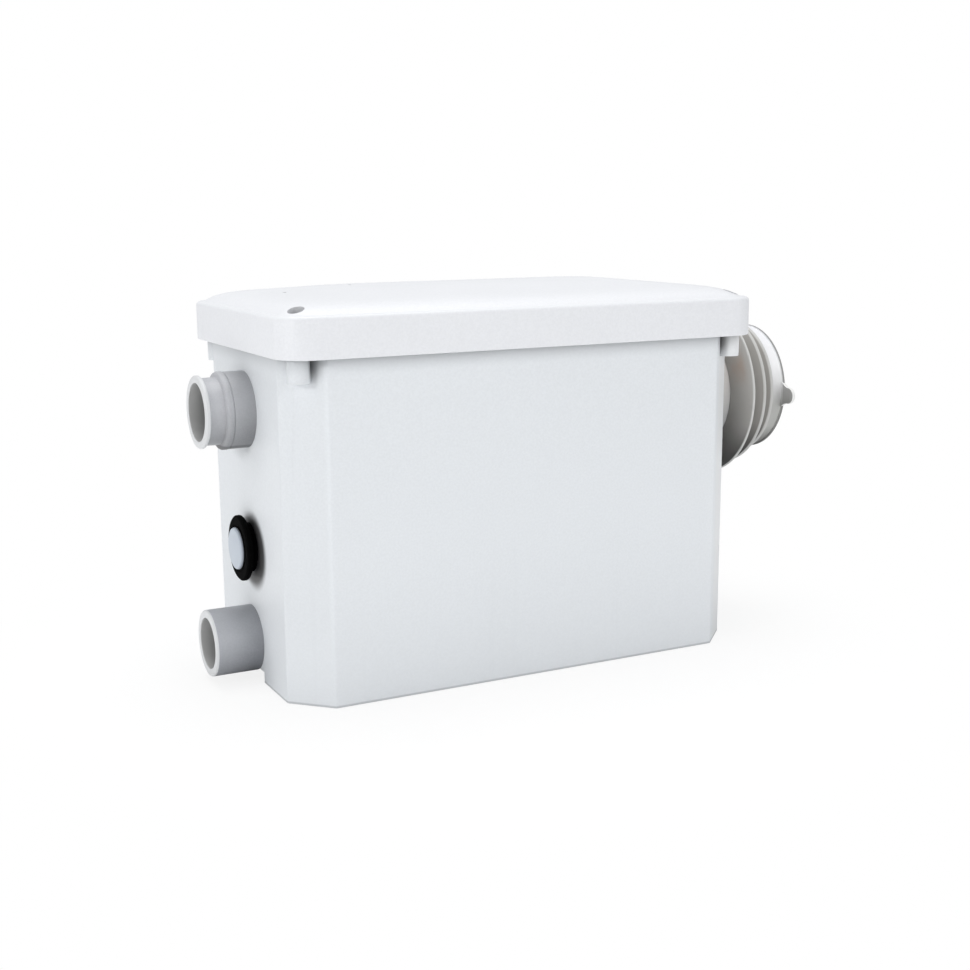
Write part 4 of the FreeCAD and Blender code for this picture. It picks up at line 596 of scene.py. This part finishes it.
# Crown outside and inside: inset from the lid's edge and share of the crown's height.
SLOPE = [(5.2, 0.005), (6.4, 0.07), (8.0, 0.16), (10.0, 0.25), (12.0, 0.325), (14.5, 0.40), (17.0, 0.46),
         (20.0, 0.51), (23.0, 0.555), (30.0, 0.63), (40.0, 0.705), (52.0, 0.80), (66.0, 0.915),
         (80.0, 1.0)]
INNER_SLOPE = [(12.0, 0.33), (17.0, 0.46), (23.0, 0.555), (40.0, 0.70), (52.0, 0.80), (66.0, 0.92),
               (80.0, 1.0)]
SEAT_FLOOR = 252.5
SEAT_RADIUS = 5.3
PILLAR_RADIUS = 6.4
PILLAR_HEIGHTS = (250.8, 254.5)
SCREW_HOLE = 2.3
VENT_HOLE = 1.0
OVER_LID = 275.0
VENT_FRAME = ((-143.75, -89.75), (-11.0, 21.0))
VENT_WALL = 2.0
VENT_FOOT = 245.0
VENT_TOP = 262.6
VENT_FALL = 15.0


def lid_ring(inset, height, corner):
    return LID_HALF[0] - inset, LID_HALF[1] - inset, corner, height


def lid_sections():
    """Loops from the crown's middle, over the edge, round the skirt and up the inside."""
    rings = [lid_ring(inset, RIM_PLANE + share * CROWN, CROWN_CORNER) for inset, share in SLOPE]
    rings.reverse()
    for turn in range(7):
        angle = math.radians(15 * turn)
        inset = LID_ROUND * (1 - math.sin(angle))
        rings.append(lid_ring(inset, RIM_PLANE - LID_ROUND * (1 - math.cos(angle)), LID_CORNER - inset))
    inner_corner = LID_CORNER - LID_WALL
    under = RIM_PLANE - LID_WALL
    rings += [lid_ring(0.0, LID_EDGE + 0.6, LID_CORNER), lid_ring(0.4, LID_EDGE, LID_CORNER - 0.4),
              lid_ring(LID_WALL - 0.4, LID_EDGE + 0.05, inner_corner),
              lid_ring(LID_WALL, LID_EDGE + 0.4, inner_corner), lid_ring(LID_WALL, under, inner_corner),
              lid_ring(8.0, under + 0.05, 48.0)]
    rings += [lid_ring(inset + LID_WALL, under + share * CROWN, 50.0 - 0.4 * inset)
              for inset, share in INNER_SLOPE]
    return rings


def rounded_ring(shape, half_x, half_y, corner, height, segments=12):
    """A face bounded by a round-cornered rectangle at a height."""
    known = set(shape.faces)
    spots = [(-half_x, -half_y), (half_x, -half_y), (half_x, half_y), (-half_x, half_y)]
    verts = [shape.verts.new((x * MM, y * MM, height * MM)) for x, y in spots]
    shape.faces.new(verts)
    bmesh.ops.bevel(shape, geom=verts, offset=corner * MM, offset_type="OFFSET",
                    segments=segments, profile=0.5, affect="VERTICES", clamp_overlap=False,
                    material=-1)
    (face,) = set(shape.faces) - known
    return face


def stacked(shape, rings):
    """Joins a row of loops into one closed skin, with a face at each end."""
    faces = [rounded_ring(shape, *ring) for ring in rings]
    loops = [list(face.edges) for face in faces]
    bmesh.ops.delete(shape, geom=faces[1:-1], context="FACES_ONLY")
    for lower, upper in zip(loops, loops[1:]):
        bmesh.ops.bridge_loops(shape, edges=lower + upper)
    bmesh.ops.recalc_face_normals(shape, faces=shape.faces[:])
    return shape


def screw_seat(x, y):
    """Cutter for a sunk screw seat."""
    points = [(SEAT_FLOOR, 0.0), (SEAT_FLOOR, SEAT_RADIUS), (OVER_LID, SEAT_RADIUS), (OVER_LID, 0.0)]
    return spin_profile(points, (x, y, 0.0), (0, 0, 1), 48)


def vent_frame():
    """Frame under the lid that holds the vent cartridge, its top sloping with the crown."""
    (left, right), (front, back) = VENT_FRAME
    shape = bmesh.new()
    rings = []
    for inset in (0.0, VENT_WALL):
        spots = [(left + inset, front + inset), (right - inset, front + inset),
                 (right - inset, back - inset), (left + inset, back - inset)]
        low = [shape.verts.new(Vector((x, y, VENT_FOOT)) * MM) for x, y in spots]
        high = [shape.verts.new(Vector((x, y, VENT_TOP + (x - left) / VENT_FALL)) * MM)
                for x, y in spots]
        rings.append((low, high))
    (low, high), (inner_low, inner_high) = rings
    for here in range(4):
        after = (here + 1) % 4
        for first, second in ((low, high), (high, inner_high), (inner_high, inner_low),
                              (inner_low, low)):
            shape.faces.new((first[here], first[after], second[after], second[here]))
    bmesh.ops.recalc_face_normals(shape, faces=shape.faces[:])
    return shape


def make_lid():
    """Lid skin with sunk screw seats, the seats' pillars and the vent's frame."""
    shape = stacked(bmesh.new(), lid_sections())
    lid = piece("lid_cover", shape, MATERIALS["lid"], "lid_body", 30.0)
    pillars = [cylinder(PILLAR_RADIUS, *PILLAR_HEIGHTS, x, y) for x, y in LID_SCREWS]
    trimmed(lid, pillars + [vent_frame()], "UNION")
    seats = [screw_seat(x, y) for x, y in LID_SCREWS]
    trimmed(lid, seats, "DIFFERENCE")
    holes = [cylinder(SCREW_HOLE, 245.0, 256.0, x, y, 24) for x, y in LID_SCREWS]
    holes += [cylinder(VENT_HOLE, 250.0, OVER_LID, x, VENT_ROW, 24) for x in VENT_HOLES]
    trimmed(lid, holes, "DIFFERENCE")
    lid.data.set_sharp_from_angle(angle=math.radians(30.0))
    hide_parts("lid")


# Tank

BOSS_FOOT = 215.0
BOSS_EXTRA = 1.7
BOSS_TAPER = 0.04
BOSS_SKIN = 7.2
BOSS_REACH = 7.9


def lower_bosses(shape):
    """Draws the feet of the screw bosses a little lower and narrower."""
    for corner in shape.verts:
        spot = corner.co
        away_x, away_y = abs(spot.x) - SCREW_X * MM, abs(spot.y) - SCREW_Y * MM
        away = math.hypot(away_x, away_y)
        if abs(spot.z - BOSS_FOOT * MM) >= 0.2 * MM or away >= BOSS_REACH * MM:
            continue
        spot.z -= BOSS_EXTRA * MM
        if away > BOSS_SKIN * MM:
            across = BOSS_TAPER * (away_x - away_y)
            outward = BOSS_TAPER * max(away_x + away_y, 0.0)
            spot.x -= math.copysign(outward + across, spot.x)
            spot.y -= math.copysign(outward - across, spot.y)


def make_tank():
    """Copy of the tank's skin with its triangles merged, its bosses lowered and its edges softened."""
    source = frame["nodes"]["tank"].data
    shape = bmesh.new()
    shape.from_mesh(source)
    bmesh.ops.remove_doubles(shape, verts=shape.verts[:], dist=1e-6)
    bmesh.ops.dissolve_limit(shape, angle_limit=math.radians(0.6), use_dissolve_boundaries=False,
                             verts=shape.verts[:], edges=shape.edges[:])
    lower_bosses(shape)
    made = piece("tank_shell", shape, MATERIALS["tank"], "station", 30.0)
    bevel = made.modifiers.new("edges", "BEVEL")
    bevel.width = 0.7 * MM
    bevel.segments = 3
    bevel.limit_method = "ANGLE"
    bevel.angle_limit = math.radians(40.0)
    bevel.harden_normals = True
    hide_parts("tank")


# Rubber connector

# Profile of the folded wall: distance from its left end and radius.
BELLOWS_OUTSIDE = [(0.0, 46.4), (5.6, 65.0), (6.1, 65.7), (7.5, 65.8), (7.9, 65.2), (12.6, 54.2),
                   (13.9, 53.2), (15.2, 53.8), (20.9, 58.2), (21.6, 58.9), (23.2, 59.0), (23.6, 58.4),
                   (26.6, 49.6), (27.8, 48.6), (29.0, 48.9), (33.2, 51.4), (33.8, 52.0), (35.4, 52.1),
                   (35.8, 51.6), (37.6, 48.4), (38.8, 47.6), (47.2, 48.0), (47.7, 48.9), (49.2, 48.9)]
BELLOWS_INSIDE = [(49.2, 46.3), (38.8, 46.1), (36.6, 48.4), (34.65, 50.5), (29.0, 47.4), (27.8, 46.3),
                  (26.0, 47.4), (22.45, 57.3), (15.2, 52.0), (13.9, 50.9), (12.4, 52.0), (6.75, 64.1),
                  (1.8, 46.6), (12.0, 46.4), (12.0, 44.7), (0.0, 44.7)]
TAB_PLACE = 46.5
TAB_THICKNESS = 2.7
TAB_REACH = 55.6
TAB_RADIUS = 6.1
TAB_TURN = 2.7
# Half height of a tab by the distance from the axis, up to its round end.
TAB_SPREAD = [(46.8, 9.9), (48.2, 9.3), (49.5, 8.5), (50.8, 7.5), (52.2, 6.75), (53.6, 6.3),
              (54.8, TAB_RADIUS), (TAB_REACH, TAB_RADIUS)]


def pull_tab(side):
    """Rounded pull tab in the rim's plane, flared where it leaves the rim."""
    shape = bmesh.new()
    turns = [math.radians(9 * step) for step in range(1, 10)]
    outline = TAB_SPREAD + [(TAB_REACH + TAB_RADIUS * math.sin(turn), TAB_RADIUS * math.cos(turn))
                            for turn in turns]
    corners = [shape.verts.new(Vector((BELLOWS_X + TAB_PLACE, side * out, BELLOWS_Z + half)) * MM)
               for out, half in outline]
    edges = [shape.edges.new(pair) for pair in zip(corners, corners[1:])]
    twin = bmesh.ops.duplicate(shape, geom=corners + edges)["geom"]
    lower = [item for item in twin if isinstance(item, bmesh.types.BMVert)]
    bmesh.ops.scale(shape, verts=lower, vec=(1, 1, -1),
                    space=Matrix.Translation((0, 0, -BELLOWS_Z * MM)))
    bmesh.ops.bridge_loops(shape, edges=shape.edges[:])
    bmesh.ops.remove_doubles(shape, verts=shape.verts[:], dist=1e-5)
    made = bmesh.ops.extrude_face_region(shape, geom=shape.faces[:])
    lifted = [item for item in made["geom"] if isinstance(item, bmesh.types.BMVert)]
    bmesh.ops.translate(shape, verts=lifted, vec=(TAB_THICKNESS * MM, 0, 0))
    bmesh.ops.rotate(shape, verts=shape.verts[:], cent=Vector((0.0, 0.0, BELLOWS_Z * MM)),
                     matrix=Matrix.Rotation(math.radians(TAB_TURN), 3, "X"))
    bmesh.ops.recalc_face_normals(shape, faces=shape.faces[:])
    return soften(shape, 0.6, least=50.0)


def make_connector():
    """Ribbed toilet connector with rounded rib edges, its bore, grip lip and two pull tabs."""
    shape = spin_profile(BELLOWS_OUTSIDE + BELLOWS_INSIDE, (BELLOWS_X, 0.0, BELLOWS_Z), (1, 0, 0), 144)
    sleeve = piece("toilet_connector", shape, MATERIALS["bellows_rubber"],
                   "station", 50.0)
    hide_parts("wc_bellows")
    for side, word in ((-1, "front"), (1, "back")):
        piece("connector_tab_" + word, pull_tab(side), MATERIALS["bellows_rubber"],
              "station")


# Spigots, grommet and plug, as profiles of distance to the left and radius

LUG_SIZE = (3.4, 2.6, 3.8)
DISCHARGE_TAIL = [(0.0, 8.5), (0.0, 10.0), (1.5, 11.2), (4.0, 10.4), (5.5, 11.2), (8.0, 10.4), (9.5, 11.2),
                  (12.0, 10.4), (20.0, 10.4), (20.0, 23.2)]
DISCHARGE_THREAD = [(20.6 + 2.8 * turn + step, radius) for turn in range(4)
                    for step, radius in ((0.0, 23.2), (0.8, 23.8), (1.3, 23.8), (2.1, 23.2))]
DISCHARGE_BODY = [(32.5, 23.2), (32.5, 26.1), (46.7, 26.1), (47.0, 25.7), (47.3, 25.7), (47.6, 26.4),
                  (50.2, 26.4), (51.4, 25.8), (52.1, 24.4), (52.2, 22.8), (62.4, 22.6), (62.7, 23.9),
                  (63.4, 24.6), (65.0, 24.6), (65.8, 23.9), (65.8, 20.0), (65.4, 19.6), (28.5, 19.6),
                  (28.5, 14.0), (28.0, 13.4), (26.0, 13.4), (22.0, 8.5)]
WASTE_BODY = [(0.0, 17.0), (0.0, 19.4), (3.5, 19.4), (3.5, 23.0), (35.8, 23.0), (36.5, 22.3),
              (36.5, 18.0), (36.0, 17.5), (16.0, 17.5), (16.0, 11.6), (13.5, 11.6), (13.5, 17.0)]
GROMMET_BODY = [(0.0, 13.5), (0.0, 20.2), (0.8, 21.0), (2.0, 21.0), (2.5, 20.5), (2.5, 17.0), (10.0, 17.0),
                (10.6, 17.6), (10.6, 22.0), (11.3, 22.7), (13.7, 22.7), (14.8, 21.4), (14.8, 16.6),
                (14.1, 15.9), (14.1, 15.4), (14.8, 14.8), (14.8, 13.5)]
PLUG_BODY = [(18.0, 0.0), (18.0, 11.45), (0.6, 11.45), (0.0, 11.9), (0.0, 12.9), (0.8, 13.45),
             (20.0, 13.45), (20.0, 14.1), (20.5, 14.5), (21.5, 14.5), (22.4, 13.9), (22.6, 13.0),
             (22.6, 0.0)]


def hinge_lugs(name, x, z, half_y, material):
    """Two lugs that carry a flap's pin inside a spigot."""
    shape = bmesh.new()
    for side in (-1, 1):
        spot = Matrix.Translation(Vector((x, side * (half_y - LUG_SIZE[1] / 2), z + 0.2)) * MM)
        size = Matrix.Diagonal((*(Vector(LUG_SIZE) * MM), 1.0))
        bmesh.ops.create_cube(shape, size=1.0, matrix=spot @ size)
    piece(name, soften(shape, 0.3, 2), material, "station")


def make_spigots():
    """Stepped discharge spigot with its hose tail and thread, and the plain waste inlet spigot."""
    discharge = spigot_grey("discharge_plastic", linear(118, 119, 121), linear(196, 197, 201),
                            DISCHARGE_HEIGHT, DISCHARGE_END, DISCHARGE_COLLAR)
    turned_piece("discharge_socket", DISCHARGE_TAIL + DISCHARGE_THREAD + DISCHARGE_BODY,
                 (-141.0, 0.0, DISCHARGE_HEIGHT), (-1, 0, 0), discharge, "station", 128,
                 0.35, "discharge_spigot")
    hinge_lugs("discharge_lugs", -171.7, 203.6, 10.3, discharge)
    waste = spigot_grey("waste_plastic", linear(100, 102, 107), linear(178, 180, 185), WASTE_HEIGHT,
                        WASTE_END, WASTE_COLLAR)
    turned_piece("waste_socket", WASTE_BODY, (-170.0, 0.0, WASTE_HEIGHT), (-1, 0, 0), waste,
                 "station", 128, 0.35, "inlet_spigot")
    hinge_lugs("waste_lugs", -181.3, 41.1, 9.7, waste)


def make_grommet():
    """Rubber grommet and the plug in it."""
    turned_piece("plug_seal", GROMMET_BODY, (-167.5, 0.0, PLUG_HEIGHT), (-1, 0, 0),
                 MATERIALS["grommet_rubber"], "station", 96, 0.35, "plug_grommet")
    turned_piece("plug_cap", PLUG_BODY, (-162.3, 0.0, PLUG_HEIGHT), (-1, 0, 0), MATERIALS["plug_grey"],
                 "plug_body", 96, 0.3, "inlet_plug")


# Floor, light and camera, in metres

FLOOR_HALF = 9.0
FLOOR_DROP = 0.0003
WHITE = (1.0, 1.0, 1.0)
# Share of plain white in the floor near the part, so that a faint shadow stays.
SHADOW_WHITE = 0.84
# Lamps: name, place, target, width, height and power.
LAMPS = (("key", (0.6, -2.0, 0.8), (0.0, 0.0, 0.12), 1.2, 0.9, 9.3),
         ("left", (-2.0, -0.75, 0.75), (-0.1, 0.0, 0.13), 0.4, 0.4, 10.8),
         ("side", (-1.8, 1.0, 0.8), (-0.15, 0.0, 0.13), 0.7, 0.7, 3.2),
         ("top", (0.1, 0.3, 2.2), (0.0, 0.0, 0.2), 1.8, 1.4, 28.0))
CAMERA_SPOT = Vector((-463.8, -925.8, 320.6)) * MM
CAMERA_TURN = math.radians(27.04)
CAMERA_DROP = math.radians(11.04)
CAMERA_ROLL = math.radians(-0.486)
CAMERA_LENS = 52.88


def make_stage():
    """Pale floor that shows as white away from the part and keeps a faint contact shadow."""
    finish = Finish("studio_floor")
    clouds = finish.noise(2.0, 3.0, 0.5)
    tone = finish.mixed(clouds, linear(249, 249, 249), linear(251, 251, 251))
    shader = finish.node("ShaderNodeBsdfDiffuse", {}, {"Color": tone})
    glow = finish.node("ShaderNodeEmission", {}, {"Color": WHITE, "Strength": 1.0})
    ray = finish.node("ShaderNodeLightPath", {}, {})
    away = finish.past(length(finish.x, finish.y), 200.0, 380.0)
    seen = Value(finish, ray.outputs["Is Camera Ray"]) * (away * (1 - SHADOW_WHITE) + SHADOW_WHITE)
    mix = finish.node("ShaderNodeMixShader", {}, {0: seen})
    finish.tree.links.new(shader.outputs[0], mix.inputs[1])
    finish.tree.links.new(glow.outputs[0], mix.inputs[2])
    finish.tree.links.new(mix.outputs[0], finish.output.inputs[0])
    shape = bmesh.new()
    bmesh.ops.create_grid(shape, x_segments=8, y_segments=8, size=FLOOR_HALF)
    bmesh.ops.translate(shape, verts=shape.verts[:], vec=(0, 0, -FLOOR_DROP))
    mesh = bpy.data.meshes.new("studio_floor")
    shape.to_mesh(mesh)
    shape.free()
    mesh.materials.append(finish.material)
    floor = bpy.data.objects.new("studio_floor", mesh)
    bpy.context.scene.collection.objects.link(floor)


def area_lamp(name, spot, target, width, height, power):
    lamp = bpy.data.lights.new(name, "AREA")
    lamp.shape = "RECTANGLE"
    lamp.size = width
    lamp.size_y = height
    lamp.energy = power
    made = bpy.data.objects.new(name, lamp)
    made.location = spot
    made.rotation_euler = (Vector(target) - Vector(spot)).to_track_quat("-Z", "Y").to_euler()
    bpy.context.scene.collection.objects.link(made)


def background(tree, colour, strength):
    made = tree.nodes.new("ShaderNodeBackground")
    made.inputs["Color"].default_value = (*colour, 1.0)
    made.inputs["Strength"].default_value = strength
    return made


def make_light():
    """A world that lights the part softly and looks white to the camera, and four soft lamps."""
    world = bpy.data.worlds.new("studio")
    bpy.context.scene.world = world
    world.use_nodes = True
    tree = world.node_tree
    tree.nodes.clear()
    output = tree.nodes.new("ShaderNodeOutputWorld")
    mix = tree.nodes.new("ShaderNodeMixShader")
    ray = tree.nodes.new("ShaderNodeLightPath")
    tree.links.new(ray.outputs["Is Camera Ray"], mix.inputs[0])
    tree.links.new(background(tree, (0.97, 0.985, 1.0), 0.5).outputs[0], mix.inputs[1])
    tree.links.new(background(tree, WHITE, 1.0).outputs[0], mix.inputs[2])
    tree.links.new(mix.outputs[0], output.inputs[0])
    for lamp in LAMPS:
        area_lamp(*lamp)


def make_camera():
    """The photo's camera, from its place, turn, drop and a slight roll."""
    data = bpy.data.cameras.new("photo_camera")
    data.lens = CAMERA_LENS
    data.sensor_width = 36.0
    camera = bpy.data.objects.new("photo_camera", data)
    forward = Vector((math.sin(CAMERA_TURN) * math.cos(CAMERA_DROP),
                      math.cos(CAMERA_TURN) * math.cos(CAMERA_DROP), -math.sin(CAMERA_DROP)))
    right = Vector((math.cos(CAMERA_TURN), -math.sin(CAMERA_TURN), 0.0))
    up = right.cross(forward)
    level_right = math.cos(CAMERA_ROLL) * right + math.sin(CAMERA_ROLL) * up
    level_up = -math.sin(CAMERA_ROLL) * right + math.cos(CAMERA_ROLL) * up
    turn = Matrix((level_right, level_up, -forward)).transposed()
    camera.matrix_world = Matrix.Translation(CAMERA_SPOT) @ turn.to_4x4()
    bpy.context.scene.collection.objects.link(camera)
    bpy.context.scene.camera = camera


make_lid()
make_tank()
make_connector()
make_spigots()
make_grommet()
make_stage()
make_light()
make_camera()
bpy.context.scene.view_settings.view_transform = "Standard"

bpy.context.view_layer.update()
